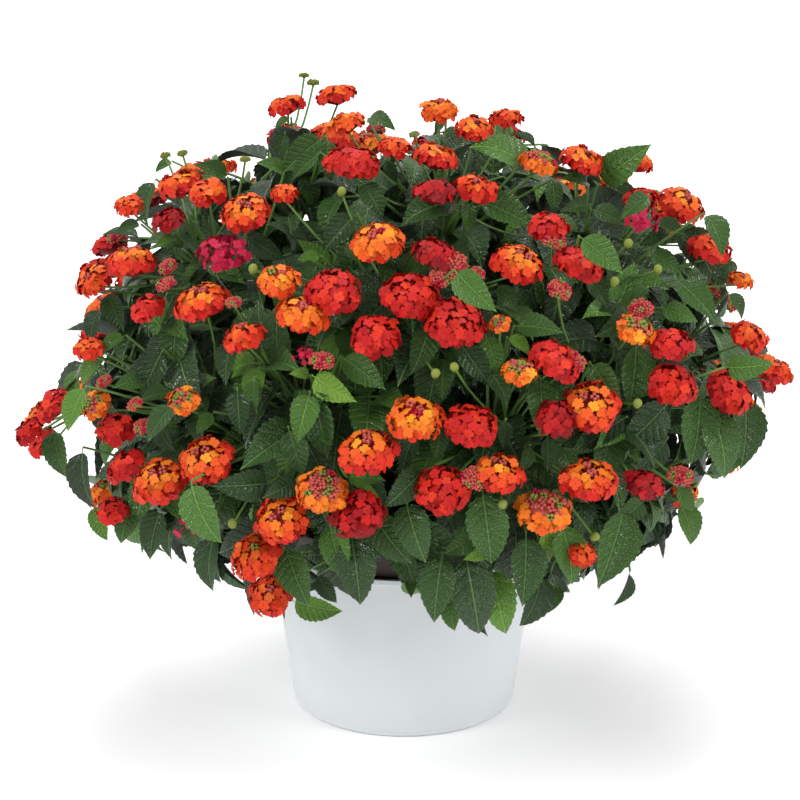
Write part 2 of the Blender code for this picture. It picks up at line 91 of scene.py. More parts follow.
# Old wood
TRUNK_R = 0.010
TRUNK_FOOT_Z = 0.105
TRUNK_TOP_Z = 0.186
LIMB_R = 0.0052
FORK_R = 0.0075
LIMB_STEP = 0.005
LIMB_SINK = 0.012
LIMB_TURN = 8.0
LIMB_WAVE = 0.006
SIDE_LIMBS = 6
SIDE_LIMB_REACH = 0.105
SIDE_LIMB_Z = 0.222
TOP_LIMB_Z = 0.300
BARK_VOXEL = 0.0016

# The canopy, a dome that hangs over the pot
CANOPY_CENTRE = Vector((0.0, 0.0, 0.262))
CANOPY_X = 0.318
CANOPY_Y = 0.290
CANOPY_RISE = 0.262
CANOPY_DROP = 0.165

# Branches
BRANCH_SHARE = 0.72
BRANCH_SEED = 100
BRANCH_R = (0.0030, 0.0019)
STUB_LENGTH = 0.014
SPRAY_REACH = 0.150
TOP_ENDS = [(20, 64), (140, 70), (262, 62)]
SECTOR_ENDS = [(-3, 40), (-20, 13), (19, 9), (2, -24)]
FORK_ANGLE = math.radians(62)
FORK_PUSHES = 30
FORK_PUSH = 0.06
GOLDEN_ANGLE = math.radians(137.508)
FULL_TURN = 6.28

# Leafy shoots
SHOOT_SEED = 11
SHOOTS = 190
SHOOT_HEIGHTS = (0.985, -0.80)
SHOOT_SHARES = (0.66, 0.88)
INNER_SHOOTS = 72
INNER_HEIGHTS = (0.98, -0.30)
INNER_SHARES = (0.42, 0.62)
SHOOT_R = (0.0016, 0.0009)
LEAF_STEPS = (1.0, 0.84, 0.64, 0.42)
LEAF_LENGTHS = (0.038, 0.055, 0.062, 0.060)
LEAF_ROWS = 10
LEAF_CHECKS = (0.3, 0.6, 0.9)
POT_CLEARANCE = 0.006
LEAF_BREADTH = 0.51
LEAF_BASE = 0.62
LEAF_TAPER = 1.25
# Each form of leaf: how far it lifts, then bows, its fold along the rib, its twist and its wave
LEAF_SHAPES = [
    (0.25, 0.9, 0.45, 0.0, 0.02), (0.35, 1.5, 0.30, 0.2, 0.03), (0.15, 0.5, 0.65, -0.15, 0.02),
    (0.45, 2.1, 0.15, 0.0, 0.04), (0.20, 1.2, 0.50, -0.3, 0.03), (0.30, 1.8, 0.40, 0.25, 0.02),
]
LEAF_FORMS = len(LEAF_SHAPES)
FRONT_LEAF_FORMS = (0, 1, 2, 4)
FRONT_LEAF_LIFT = 0.30
FRONT_LEAF_TURN = 0.8
LEAF_SWAY = 0.40
FRONT_LEAF_SEED = 23
FRONT_LEAF_DEPTH = 0.92
OVER_LEAF_DEPTH = 1.07
LEAF_FORWARD = (0.0, 0.016)

# Flower heads: the radius of each size of head, and how many florets it holds
HEAD_SIZES = {"small": (0.0135, 24), "middle": (0.0180, 38), "large": (0.0225, 57)}
FLORET_R = 0.0047
BUD_GAP = 0.0022
SPARE_HEAD_R = 0.018
HEAD_SINK = 0.35
HEAD_GAP = 0.002
HEAD_SPREAD = 1.68
HEAD_WIDTH = 0.84
HEAD_RISE = 0.54
TUBE_SHARE = 0.55
# A head with more than this share of buds, or of missing florets, is crowded or loose
MANY = 0.2
BUD_CROWD = 1.25
LOOSE_CORE = 0.5
CORE_LEVELS = [
    (0.10, -0.42), (0.55, -0.26), (0.74, -0.04), (0.68, 0.20), (0.42, 0.35), (0, 0.41),
]
BERRY_LEVELS = [(0.15, -1.25), (0.75, -0.95), (1.0, -0.15), (0.9, 0.55), (0.5, 0.95), (0, 1.1)]
BACK_SEED = 7
BACK_HEADS = 240
BACK_TOP = 0.96
BACK_SPAN = 1.30
BACK_HEAD_R = (0.015, 0.023)
BACK_BUD_R = (0.008, 0.011)
BACK_DEEPEST = 0.80
BACK_RIM = 0.7
STALK_R = (0.0011, 0.0009)
STALK_LEAN = 0.7
STALK_SINK = 0.028
HEAD_LIFT = 1.5
HEAD_SHRINK = 0.97

# The camera, and the sight line that the front flower heads are placed along
VIEWPOINT = Vector((-0.0034, -2.0, 0.882))
VIEW_PITCH = math.radians(17.3)
VIEW_FOCAL = 2558.0
VIEW_MIDDLE = 400.0
PICTURE = 800.0
SENSOR = 36.0
FLOOR_HALF = 14
WORLD_LIGHT = 0.88
LIGHT_SPREAD = math.radians(24)
SOFT_LIGHTS = [
    ("left_light", (-2.1, -1.2, 1.9), 1.75), ("right_light", (2.2, -1.0, 1.6), 1.35),
    ("back_light", (0.2, 1.5, 2.4), 1.25),
]
PIXEL = 0.00085
SIGHT_NEAR = -0.34
SIGHT_FAR = 0.14
SIGHT_STEPS = 120

# Front flower heads as seen from the camera: across, down, radius, kind
FRONT_HEADS = [
    (285, 101, 17, "sunset"), (336, 90, 18, "flame"), (343, 119, 18, "amber"),
    (354, 155, 27, "red"), (395, 143, 16, "sunset"), (438, 106, 18, "amber"),
    (475, 124, 19, "flame"), (507, 114, 15, "sunset"), (541, 158, 19, "opening"),
    (584, 155, 21, "flame"), (437, 151, 21, "flame"), (436, 186, 21, "crimson"),
    (478, 183, 20, "sunset"), (376, 236, 25, "amber"), (179, 178, 22, "flame"),
    (207, 188, 17, "sunset"), (167, 215, 16, "crimson"), (129, 202, 14, "sunset"),
    (245, 207, 24, "flame"), (222, 246, 24, "magenta"), (284, 190, 13, "sunset"),
    (131, 255, 25, "flame"), (91, 276, 20, "flame"), (88, 345, 14, "sunset"),
    (200, 295, 27, "flame"), (145, 305, 16, "red"), (279, 276, 20, "amber"),
    (304, 308, 25, "amber"), (242, 332, 20, "sunset"), (333, 286, 26, "red"), (375, 331, 23, "red"),
    (438, 248, 22, "crimson"), (410, 289, 27, "red"), (456, 316, 29, "red"),
    (521, 258, 25, "flame"), (548, 222, 19, "red"), (582, 258, 24, "red"),
    (519, 367, 16, "opening"), (560, 355, 25, "red"), (590, 402, 27, "flame"),
    (558, 414, 20, "crimson"), (642, 195, 16, "red"), (684, 199, 24, "flame"),
    (643, 214, 18, "magenta"), (712, 243, 22, "sunset"), (743, 277, 12, "amber"),
    (752, 332, 19, "sunset"), (775, 364, 22, "flame"), (733, 387, 25, "red"), (672, 338, 22, "red"),
    (674, 379, 24, "red"), (638, 325, 18, "opening"), (590, 473, 28, "flame"),
    (647, 480, 19, "crimson"), (498, 467, 24, "flame"), (545, 504, 26, "opening"),
    (585, 553, 13, "sunset"), (443, 485, 25, "red"), (473, 420, 25, "red"), (416, 412, 26, "amber"),
    (366, 444, 28, "flame"), (323, 485, 24, "opening"), (357, 509, 26, "crimson"),
    (280, 517, 25, "flame"), (253, 552, 25, "sunset"), (268, 592, 22, "sunset"),
    (203, 456, 26, "flame"), (158, 475, 27, "flame"), (122, 462, 18, "red"), (111, 508, 15, "red"),
    (114, 425, 18, "red"), (93, 403, 15, "opening"), (182, 398, 15, "opening"),
    (47, 402, 21, "red"), (26, 428, 15, "red"), (188, 520, 15, "magenta"),
    (499, 322, 10, "opening"), (303, 354, 9, "magenta"),
]
# The outline that the leaves keep to, in the same picture
FRONT_OUTLINE = [
    (276, 163), (278, 117), (301, 92), (327, 112), (390, 122), (449, 120), (465, 102), (510, 117),
    (561, 160), (602, 176), (650, 142), (652, 172), (704, 200), (722, 226), (737, 265), (737, 316),
    (767, 325), (790, 367), (782, 393), (760, 434), (741, 469), (726, 476), (706, 490), (694, 548),
    (663, 561), (645, 566), (617, 606), (560, 604), (523, 627), (477, 634), (440, 620), (408, 590),
    (404, 556), (364, 552), (360, 604), (337, 618), (301, 620), (278, 650), (268, 627), (228, 610),
    (219, 589), (189, 568), (163, 552), (133, 558), (97, 510), (66, 480), (41, 459), (14, 440),
    (14, 418), (31, 388), (71, 390), (72, 327), (80, 300), (72, 276), (84, 250), (117, 205),
    (145, 166), (163, 151), (204, 150), (250, 155),
]
# Tight heads of buds, green bud heads and berries, seen the same way
FRONT_BUDS = [
    (167, 265, 9, "buds"), (164, 282, 10, "buds"), (234, 300, 8, "buds"), (453, 258, 14, "buds"),
    (442, 272, 12, "buds"), (476, 272, 8, "buds"), (555, 237, 11, "buds"), (561, 287, 11, "buds"),
    (642, 306, 11, "buds"), (576, 358, 11, "buds"), (476, 475, 12, "buds"), (682, 473, 12, "buds"),
    (103, 380, 8, "buds"), (134, 402, 8, "buds"), (143, 424, 9, "buds"), (323, 358, 11, "buds"),
    (304, 74, 5, "green"), (313, 81, 6, "green"), (165, 154, 5, "green"), (182, 152, 5, "green"),
    (245, 158, 5, "green"), (414, 133, 5, "green"), (342, 190, 4, "berry"), (253, 267, 4, "berry"),
    (436, 372, 4, "berry"), (454, 366, 4, "berry"), (629, 242, 4, "berry"), (658, 268, 4, "berry"),
    (615, 280, 4, "berry"), (638, 402, 4, "berry"), (503, 503, 4, "berry"), (596, 536, 4, "berry"),
    (232, 522, 4, "berry"),
]
# The clearest front leaves: stalk end across and down, tip across and down, tint dark to light;
# tint 0, the darkest, is painted shade for leaves that lie in shadow
FRONT_LEAVES = [
    (228, 177, 193, 165, 3), (172, 161, 155, 173, 4), (156, 179, 149, 227, 2),
    (141, 224, 116, 232, 3), (187, 212, 177, 260, 2), (194, 221, 197, 243, 4),
    (176, 238, 155, 248, 5), (100, 308, 93, 343, 1), (107, 291, 124, 332, 2),
    (167, 293, 155, 341, 4), (178, 315, 173, 371, 2), (105, 353, 82, 386, 5),
    (126, 335, 100, 357, 4), (163, 349, 141, 396, 1), (214, 412, 196, 434, 4),
    (53, 428, 67, 478, 3), (83, 447, 97, 510, 0), (40, 424, 29, 442, 2), (136, 497, 121, 544, 3),
    (178, 465, 185, 496, 5), (98, 504, 108, 541, 5), (161, 508, 150, 560, 1),
    (284, 173, 255, 163, 4), (325, 136, 283, 173, 3), (320, 152, 292, 180, 3),
    (291, 117, 276, 134, 4), (285, 132, 279, 161, 2), (368, 118, 396, 131, 3),
    (327, 137, 332, 182, 3), (361, 183, 383, 220, 2), (357, 213, 322, 253, 1),
    (385, 159, 397, 183, 2), (389, 250, 383, 285, 3), (348, 243, 358, 263, 3),
    (247, 236, 285, 259, 1), (321, 256, 297, 260, 5), (317, 263, 294, 280, 2),
    (461, 205, 401, 227, 2), (532, 173, 468, 148, 4), (478, 200, 536, 228, 3),
    (467, 201, 467, 234, 4), (553, 179, 555, 213, 3), (588, 183, 560, 179, 3),
    (590, 204, 560, 212, 2), (536, 147, 511, 134, 2), (511, 125, 498, 143, 5),
    (446, 117, 435, 136, 3), (456, 125, 450, 149, 4), (598, 183, 652, 144, 4),
    (590, 209, 627, 228, 2), (672, 230, 717, 290, 1), (676, 280, 716, 323, 3),
    (650, 252, 682, 274, 3), (664, 279, 628, 288, 4), (648, 287, 629, 305, 3),
    (662, 308, 698, 322, 4), (629, 311, 594, 337, 2), (587, 275, 608, 309, 2),
    (732, 258, 721, 285, 2), (728, 292, 741, 320, 3), (636, 340, 628, 410, 3),
    (590, 362, 622, 405, 3), (702, 349, 676, 357, 3), (701, 390, 690, 466, 3),
    (745, 396, 740, 470, 2), (711, 408, 724, 479, 3), (668, 438, 634, 471, 1),
    (668, 403, 617, 450, 1), (627, 417, 582, 450, 0), (677, 486, 693, 512, 4),
    (644, 501, 613, 526, 3), (679, 501, 690, 545, 4), (376, 519, 412, 564, 2),
    (405, 500, 426, 563, 2), (482, 488, 491, 564, 3), (526, 532, 522, 607, 2),
    (491, 566, 506, 634, 5), (465, 553, 479, 634, 1), (443, 553, 434, 623, 2),
    (454, 590, 455, 631, 4), (542, 572, 519, 626, 1), (554, 585, 550, 612, 3),
    (561, 521, 572, 585, 4), (547, 525, 542, 565, 6), (625, 505, 597, 588, 3),
    (630, 571, 613, 606, 1), (479, 533, 444, 554, 3), (489, 547, 463, 560, 6),
    (512, 478, 505, 508, 1), (438, 428, 437, 462, 2), (415, 429, 402, 471, 1),
    (547, 435, 547, 472, 1), (530, 445, 519, 472, 2), (506, 419, 503, 450, 1),
    (410, 577, 411, 598, 3), (310, 392, 297, 443, 4), (316, 393, 328, 459, 2),
    (288, 427, 302, 475, 2), (270, 483, 211, 486, 1), (296, 480, 262, 498, 1),
    (237, 388, 240, 435, 1), (254, 378, 257, 412, 3), (285, 545, 309, 607, 3),
    (329, 522, 342, 577, 4), (351, 532, 360, 605, 1), (317, 575, 337, 603, 1),
    (347, 477, 386, 481, 4), (423, 470, 384, 508, 1), (215, 533, 214, 592, 1),
    (291, 600, 343, 611, 5), (428, 324, 410, 375, 2), (459, 342, 490, 387, 1),
    (488, 371, 507, 408, 2), (485, 334, 497, 374, 4), (507, 337, 529, 356, 6),
    (514, 326, 564, 333, 3), (540, 376, 539, 435, 3), (312, 375, 357, 402, 6),
    (310, 375, 289, 374, 6), (340, 356, 386, 390, 3), (441, 423, 434, 461, 2),
    (497, 284, 518, 313, 2), (620, 300, 596, 330, 1), (560, 445, 574, 482, 2),
    (150, 378, 112, 388, 3), (172, 392, 138, 402, 2), (128, 410, 118, 438, 2),
    (160, 425, 176, 452, 1), (232, 340, 226, 386, 1), (262, 352, 258, 300, 1),
    (700, 228, 668, 244, 2), (690, 212, 664, 210, 1), (670, 233, 638, 246, 2),
    (652, 224, 688, 238, 2), (700, 262, 724, 288, 2), (612, 186, 640, 200, 2),
]
# Leaves that lie over a head
OVER_LEAVES = [
    (454, 270, 497, 312, 4), (579, 236, 623, 274, 4), (725, 367, 774, 363, 4),
    (649, 194, 620, 219, 3), (704, 213, 721, 257, 3), (174, 405, 148, 442, 2),
    (191, 481, 222, 543, 4), (86, 386, 68, 432, 5),
]
BACK_KINDS = ["flame", "flame", "red", "red", "sunset", "amber", "crimson", "opening", "buds"]

# Cells of the colour sheet, four by four: leaves light to dark with their undersides eight on,
# and petals from crimson to amber
CELLS = 4
LEAF_TINTS = 7
UNDER_STEP = 8
STEM_CELL = 7
CELL_MARGIN = 0.03
WOODY_CELL = 15
PETAL_TINTS = 12
MAGENTA_CELL, BUD_CELL, GREEN_CELL, STALK_CELL = 12, 13, 14, 15

# Each kind of head: petal tints at its middle and its rim, share of closed buds, share missing
HEAD_KINDS = {
    "flame": (10, 2, 0.03, 0.0),
    "sunset": (8, 3, 0.02, 0.0),
    "amber": (11, 5, 0.05, 0.0),
    "opening": (11, 8, 0.28, 0.10),
    "red": (4, 2, 0.0, 0.0),
    "crimson": (2, 0, 0.0, 0.04),
    "magenta": (MAGENTA_CELL, MAGENTA_CELL, 0.0, 0.45),
    "buds": (BUD_CELL, BUD_CELL, 1.0, 0.0),
    "green": (GREEN_CELL, GREEN_CELL, 1.0, 0.0),
}

# The colours of those cells: leaves from dark to light, then petals, buds and stalks. The first
# leaf colour, the darkest, is painted shade for leaves in shadow; the others are the leaves' own
# greens
LEAF_COLOURS = [
    (0.009, 0.030, 0.004), (0.013, 0.047, 0.005), (0.022, 0.071, 0.006), (0.034, 0.102, 0.008),
    (0.056, 0.150, 0.012), (0.096, 0.228, 0.018), (0.165, 0.330, 0.030),
]
PETAL_COLOURS = [
    (0.23, 0.004, 0.008), (0.33, 0.005, 0.008), (0.43, 0.008, 0.009), (0.52, 0.012, 0.009),
    (0.59, 0.022, 0.009), (0.63, 0.038, 0.009), (0.67, 0.062, 0.009), (0.70, 0.096, 0.010),
    (0.73, 0.140, 0.011), (0.76, 0.190, 0.012), (0.79, 0.255, 0.014), (0.82, 0.330, 0.019),
    (0.44, 0.008, 0.050), (0.50, 0.100, 0.078), (0.20, 0.280, 0.050), (0.17, 0.270, 0.045),
]

Stem = namedtuple("Stem", "points radii cell")
Spot = namedtuple("Spot", "place turn size form cell")


# Nodes


class Nodes:
    """Writes a node tree. Each value given is a plain one, or the output socket that feeds it."""

    def __init__(self, tree):
        self.tree = tree

    def feed(self, value, socket):
        if isinstance(value, bpy.types.NodeSocket):
            self.tree.links.new(value, socket)
        else:
            socket.default_value = value

    def put(self, kind, inputs=(), out=0, **settings):
        """Adds a node, and gives back one of its outputs, or all of them where out is None."""
        node = self.tree.nodes.new(kind)
        for name, value in settings.items():
            setattr(node, name, value)
        for key, value in dict(inputs).items():
            self.feed(value, node.inputs[key])
        return node.outputs if out is None else node.outputs[out]

    def math(self, operation, *values):
        return self.put("ShaderNodeMath", enumerate(values), operation=operation)

    def plus(self, a, b):
        return self.math("ADD", a, b)

    def times(self, a, b):
        return self.math("MULTIPLY", a, b)

    def over(self, a, b):
        return self.math("DIVIDE", a, b)

    def xyz(self, *values):
        return self.put("ShaderNodeCombineXYZ", enumerate(values))

    def parts(self, vector):
        return self.put("ShaderNodeSeparateXYZ", {0: vector}, out=None)

    def band(self, value, low, high, start=0.0, end=1.0):
        """Value carried smoothly from low..high to start..end."""
        inputs = {"Value": value, "From Min": low, "From Max": high, "To Min": start, "To Max": end}
        return self.put("ShaderNodeMapRange", inputs, interpolation_type="SMOOTHSTEP")

    def mix(self, share, first, second):
        return self.put("ShaderNodeMix", {0: share, 2: first, 3: second})

    def named(self, name, data_type="FLOAT"):
        """A named attribute of the geometry."""
        kind = "GeometryNodeInputNamedAttribute"
        return self.put(kind, {"Name": name}, "Attribute", data_type=data_type)

    def store(self, geometry, name, value, data_type="FLOAT", domain="POINT"):
        inputs = {"Geometry": geometry, "Name": name, "Value": value}
        kind = "GeometryNodeStoreNamedAttribute"
        return self.put(kind, inputs, "Geometry", data_type=data_type, domain=domain)

    def set_out(self, points, shapes, **inputs):
        """Shapes picked from a collection, one on each point."""
        source = {"Collection": shapes, "Separate Children": True, "Reset Children": True}
        shapes = self.put("GeometryNodeCollectionInfo", source)
        inputs = {key.replace("_", " "): value for key, value in inputs.items()}
        inputs = {"Points": points, "Instance": shapes, "Pick Instance": True, **inputs}
        return self.put("GeometryNodeInstanceOnPoints", inputs)

    def whole(self, *pieces):
        """The pieces joined, with their instances made real."""
        together = self.tree.nodes.new("GeometryNodeJoinGeometry")
        for piece in pieces:
            self.feed(piece, together.inputs[0])
        return self.put("GeometryNodeRealizeInstances", {0: together.outputs[0]})

    def coated(self, geometry, material, **inputs):
        inputs = {"Geometry": geometry, "Material": material, **inputs}
        return self.put("GeometryNodeSetMaterial", inputs)

    def place(self):
        """A place on the piece in Object coordinates."""
        return self.put("ShaderNodeTexCoord", out="Object")

    def noise(self, where, scale, detail):
        inputs = {"Vector": where, "Scale": scale, "Detail": detail}
        return self.put("ShaderNodeTexNoise", inputs, "Fac")

    def group(self, which, **inputs):
        inputs = {key.replace("_", " "): value for key, value in inputs.items()}
        return self.put("ShaderNodeGroup", inputs, None, node_tree=which)

    def tint(self, cell, colours):
        """One plain colour for each cell of the sheet."""
        cells = CELLS * CELLS
        share = self.over(self.plus(cell, 0.5), cells)
        tinted = self.put("ShaderNodeValToRGB", {0: share})
        ramp = tinted.node.color_ramp
        ramp.interpolation = "CONSTANT"
        for i, colour in enumerate(colours):
            stop = ramp.elements[0] if i == 0 else ramp.elements.new(i / cells)
            stop.color = (*colour, 1)
        last = ramp.elements[-1]
        if last.position > (len(colours) - 0.5) / cells:
            last.color = (*colours[-1], 1)
        return tinted

    def blend(self, kind, share, first, second):
        """Two colours blended, each a socket or a plain (r, g, b)."""
        inputs = {0: share, 6: first, 7: second}
        inputs = {k: (*v, 1) if isinstance(v, tuple) else v for k, v in inputs.items()}
        return self.put("ShaderNodeMix", inputs, 2, data_type="RGBA", blend_type=kind)

    def bump(self, height, distance):
        return self.put("ShaderNodeBump", {"Height": height, "Distance": distance})

    def shade(self, **values):
        """Feeds the surface's own shader."""
        shader = self.tree.nodes["Principled BSDF"].inputs
        for key, value in values.items():
            self.feed(value, shader[key.replace("_", " ")])


def new_tree(kind, name, inputs, outputs):
    """A group's Nodes, inputs and outputs. An input is given by its default, or by its type."""
    tree = bpy.data.node_groups.new(name, f"{kind}NodeTree")
    for label, given in inputs.items():
        number = {int: "Int", float: "Float"}.get(type(given))
        socket_type = f"NodeSocket{number or given}"
        socket = tree.interface.new_socket(label, in_out="INPUT", socket_type=socket_type)
        if number:
            socket.default_value = given
    for label, made in outputs.items():
        tree.interface.new_socket(label, in_out="OUTPUT", socket_type=f"NodeSocket{made}")
    given, made = (tree.nodes.new(f"NodeGroup{end}") for end in ("Input", "Output"))
    return Nodes(tree), given.outputs, made.inputs


def new_material(name, **values):
    material = bpy.data.materials.new(name)
    material.use_nodes = True
    t = Nodes(material.node_tree)
    t.shade(**values)
    return material, t


def linked(name, data):
    thing = bpy.data.objects.new(name, data)
    bpy.context.scene.collection.objects.link(thing)
    return thing


def plain_mesh(thing):
    """The mesh of an object with its modifiers worked in. The object itself goes."""
    bpy.context.view_layer.update()
    evaluated = thing.evaluated_get(bpy.context.evaluated_depsgraph_get())
    mesh = bpy.data.meshes.new_from_object(evaluated)
    bpy.data.objects.remove(thing)
    return mesh


def grown(name, mesh, tree, settings):
    """The plain mesh that a Geometry Nodes tree makes of a mesh, its inputs set by name."""
    thing = linked(name, mesh)
    modifier = thing.modifiers.new("Grow", "NODES")
    modifier.node_group = tree
    for socket in tree.interface.items_tree:
        if socket.in_out == "INPUT" and socket.name in settings:
            modifier[socket.identifier] = settings[socket.name]
    result = plain_mesh(thing)
    result.name = name
    return result


# Geometry Nodes trees


def onto_sheet(t, geometry):
    """Stores the colour-sheet map: each face's own pattern map, shrunk into its cell."""
    pattern = t.parts(t.named("pattern", "FLOAT_VECTOR"))
    cell = t.plus(t.named("cell"), t.times(t.math("FLOOR", pattern[0]), UNDER_STEP))
    across = t.plus(t.math("FRACT", pattern[0]), t.math("MODULO", cell, CELLS))
    up = t.plus(pattern[1], t.math("FLOOR", t.over(cell, CELLS)))
    corner = t.xyz(t.over(across, CELLS), t.over(up, CELLS))
    return t.store(geometry, "OFBake", corner, "FLOAT2", "CORNER")


def growing_tree():
    """Round stems along chains of edges, and shapes from a collection on the loose points."""
    t, given, made = new_tree(
        "Geometry", "stems_and_shapes",
        {
            "Plan": "Geometry", "Shapes": "Collection", "Stem sides": 6, "Smoothness": 3,
            "Stem finish": "Material", "Shape finish": "Material",
        },
        {"Grown": "Geometry"},
    )
    inputs = {"Geometry": given["Plan"], "Selection": t.named("is_shape", "BOOLEAN")}
    parted = t.put("GeometryNodeSeparateGeometry", inputs, None)

    # Stems
    curve = t.put("GeometryNodeMeshToCurve", {"Mesh": parted["Inverted"]})
    curve = t.put("GeometryNodeCurveSplineType", {"Curve": curve}, spline_type="CATMULL_ROM")
    inputs = {"Geometry": curve, "Resolution": given["Smoothness"]}
    curve = t.put("GeometryNodeSetSplineResolution", inputs)
    along = t.put("GeometryNodeSplineParameter", out="Factor")
    curve = t.store(curve, "along", along)
    inputs = {"Resolution": given["Stem sides"], "Radius": 1.0}
    ring = t.put("GeometryNodeCurvePrimitiveCircle", inputs, "Curve")
    ring = t.store(ring, "around", t.math("PINGPONG", t.times(along, 2.0), 1.0))
    inputs = {"Curve": curve, "Profile Curve": ring, "Scale": t.named("radius"), "Fill Caps": True}
    stems = t.put("GeometryNodeCurveToMesh", inputs)
    drawn_in = [
        t.math("MULTIPLY_ADD", t.named(name), 1 - 2 * CELL_MARGIN, CELL_MARGIN)
        for name in ("around", "along")
    ]
    stems = t.store(stems, "pattern", t.xyz(*drawn_in), "FLOAT2", "CORNER")
    stems = t.store(stems, "is_stem", True, "BOOLEAN", "FACE")

    shapes = t.set_out(
        parted["Selection"], given["Shapes"], Instance_Index=t.named("form", "INT"),
        Rotation=t.named("turn", "QUATERNION"), Scale=t.named("size"),
    )
    whole = onto_sheet(t, t.whole(shapes, stems))
    whole = t.coated(whole, given["Shape finish"])
    whole = t.coated(whole, given["Stem finish"], Selection=t.named("is_stem", "BOOLEAN"))
    t.feed(whole, made["Grown"])
    return t.tree


def flower_head_tree():
    """Florets set out by the golden angle over a dome, with closed buds at its middle."""
    t, given, made = new_tree(
        "Geometry", "flower_head",
        {
            "Core": "Geometry", "Florets": 24, "Radius": 0.02, "Height": 0.013, "Spread": 1.7,
            "Middle tint": 10.0, "Rim tint": 3.0, "Bud share": 0.1, "Missing share": 0.0,
            "Unevenness": 0.60, "Seed": 1, "Floret shapes": "Collection", "Finish": "Material",
        },
        {"Head": "Geometry"},
    )
    index = t.put("GeometryNodeInputIndex")
    radius, height, middle = given["Radius"], given["Height"], given["Middle tint"]

    def chance(low, high, step):
        seed = t.plus(given["Seed"], step)
        inputs = {"Seed": seed, "ID": index, 2: low, 3: high}
        return t.put("FunctionNodeRandomValue", inputs, 1)

    # Places on the dome, from its middle outwards
    share = t.over(t.plus(index, 0.5), given["Florets"])
    out = t.times(t.math("SQRT", share), given["Spread"])
    round_by = t.math("MULTIPLY_ADD", index, GOLDEN_ANGLE, given["Seed"])
    level = t.times(t.math("SINE", out), radius)
    rise = t.times(t.math("COSINE", out), height)
    east = t.times(level, t.math("COSINE", round_by))
    north = t.times(level, t.math("SINE", round_by))
    inputs = {0: t.xyz(east, north, rise), "Scale": chance(0.86, 1.13, 1)}
    spot = t.put("ShaderNodeVectorMath", inputs, operation="SCALE")
    points = t.put("GeometryNodePoints", {"Count": given["Florets"], "Position": spot})

    # Florets face outwards, each a little askew and turned on its own tube
    askew = [t.times(chance(-1, 1, k), given["Unevenness"]) for k in (2, 3)]
    facing = t.xyz(
        t.plus(t.over(east, radius), askew[0]), t.plus(t.over(north, radius), askew[1]),
        t.times(t.over(rise, height), t.over(radius, height)),
    )
    facing = t.put("FunctionNodeAlignRotationToVector", {"Vector": facing}, axis="Z")
    spin = t.put("FunctionNodeEulerToRotation", {0: t.xyz(0, 0, chance(0, FULL_TURN, 4))})
    inputs = {"Rotation": facing, "Rotate By": spin}
    facing = t.put("FunctionNodeRotateRotation", inputs, rotation_space="LOCAL")

    # Open or closed, and which tint
    closed = t.math("LESS_THAN", share, given["Bud share"])
    form = t.math("MAXIMUM", t.math("ROUND", chance(0, 1, 5)), t.times(closed, 2))
    tint = t.mix(t.math("POWER", share, 0.75), middle, given["Rim tint"])
    tint = t.math("ROUND", t.plus(tint, chance(-1.5, 1.5, 6)))
    petal = t.math("MINIMUM", t.math("MAXIMUM", tint, 0.0), PETAL_TINTS - 1.0)
    petal = t.mix(t.math("GREATER_THAN", middle, PETAL_TINTS - 0.5), petal, middle)
    bud = t.math("MAXIMUM", middle, float(BUD_CELL))
    bud = t.plus(bud, t.math("ROUND", chance(-0.6, 0.8, 9)))
    points = t.store(points, "cell", t.math("ROUND", t.mix(closed, petal, bud)))

    present = t.math("GREATER_THAN", chance(0, 1, 7), given["Missing share"])
    size = t.times(chance(0.9, 1.1, 8), t.band(share, 0.0, 0.35, 0.90, 1.0))
    florets = t.set_out(
        points, given["Floret shapes"], Selection=present, Instance_Index=form, Rotation=facing,
        Scale=size,
    )
    t.feed(t.coated(t.whole(florets, given["Core"]), given["Finish"]), made["Head"])
    return t.tree


def crumb_tree():
    """Crumbs of bark and peat strewn over the upward faces of a mound."""
    t, given, made = new_tree(
        "Geometry", "strewn_crumbs",
        {
            "Mound": "Geometry", "Crumbs": "Collection", "Density": 40000.0, "Smallest": 0.4,
            "Largest": 1.3, "Seed": 3, "Finish": "Material",
        },
        {"Mix": "Geometry"},
    )
    seed = given["Seed"]
    up = t.parts(t.put("GeometryNodeInputNormal"))[2]
    upward = t.math("GREATER_THAN", up, 0.7)
    inputs = {"Mesh": given["Mound"], "Selection": upward, "Density": given["Density"]}
    inputs["Seed"] = seed
    points = t.put("GeometryNodeDistributePointsOnFaces", inputs, "Points")
    inputs = {2: given["Smallest"], 3: given["Largest"], "Seed": seed}
    size = t.put("FunctionNodeRandomValue", inputs, 1)
    inputs = {"Seed": seed, 1: (FULL_TURN, FULL_TURN, FULL_TURN)}
    whirl = t.put("FunctionNodeRandomValue", inputs, data_type="FLOAT_VECTOR")
    spin = t.put("FunctionNodeEulerToRotation", {0: whirl})
    crumbs = t.set_out(points, given["Crumbs"], Rotation=spin, Scale=size)
    t.feed(t.coated(t.whole(crumbs, given["Mound"]), given["Finish"]), made["Mix"])
    return t.tree


# Shared effects, and materials


def grain_group():
    """Soft blotches and a fine grain in Object coordinates: a 0..1 mask of each."""
    t, given, made = new_tree(
        "Shader", "fine_grain", {"Blotch scale": 20.0, "Grain scale": 400.0},
        {"Blotches": "Float", "Grain": "Float"},
    )
    blotch = t.noise(t.place(), given["Blotch scale"], 3.0)
    t.feed(t.band(blotch, 0.35, 0.65), made["Blotches"])
    t.feed(t.noise(t.place(), given["Grain scale"], 2.0), made["Grain"])
    return t.tree


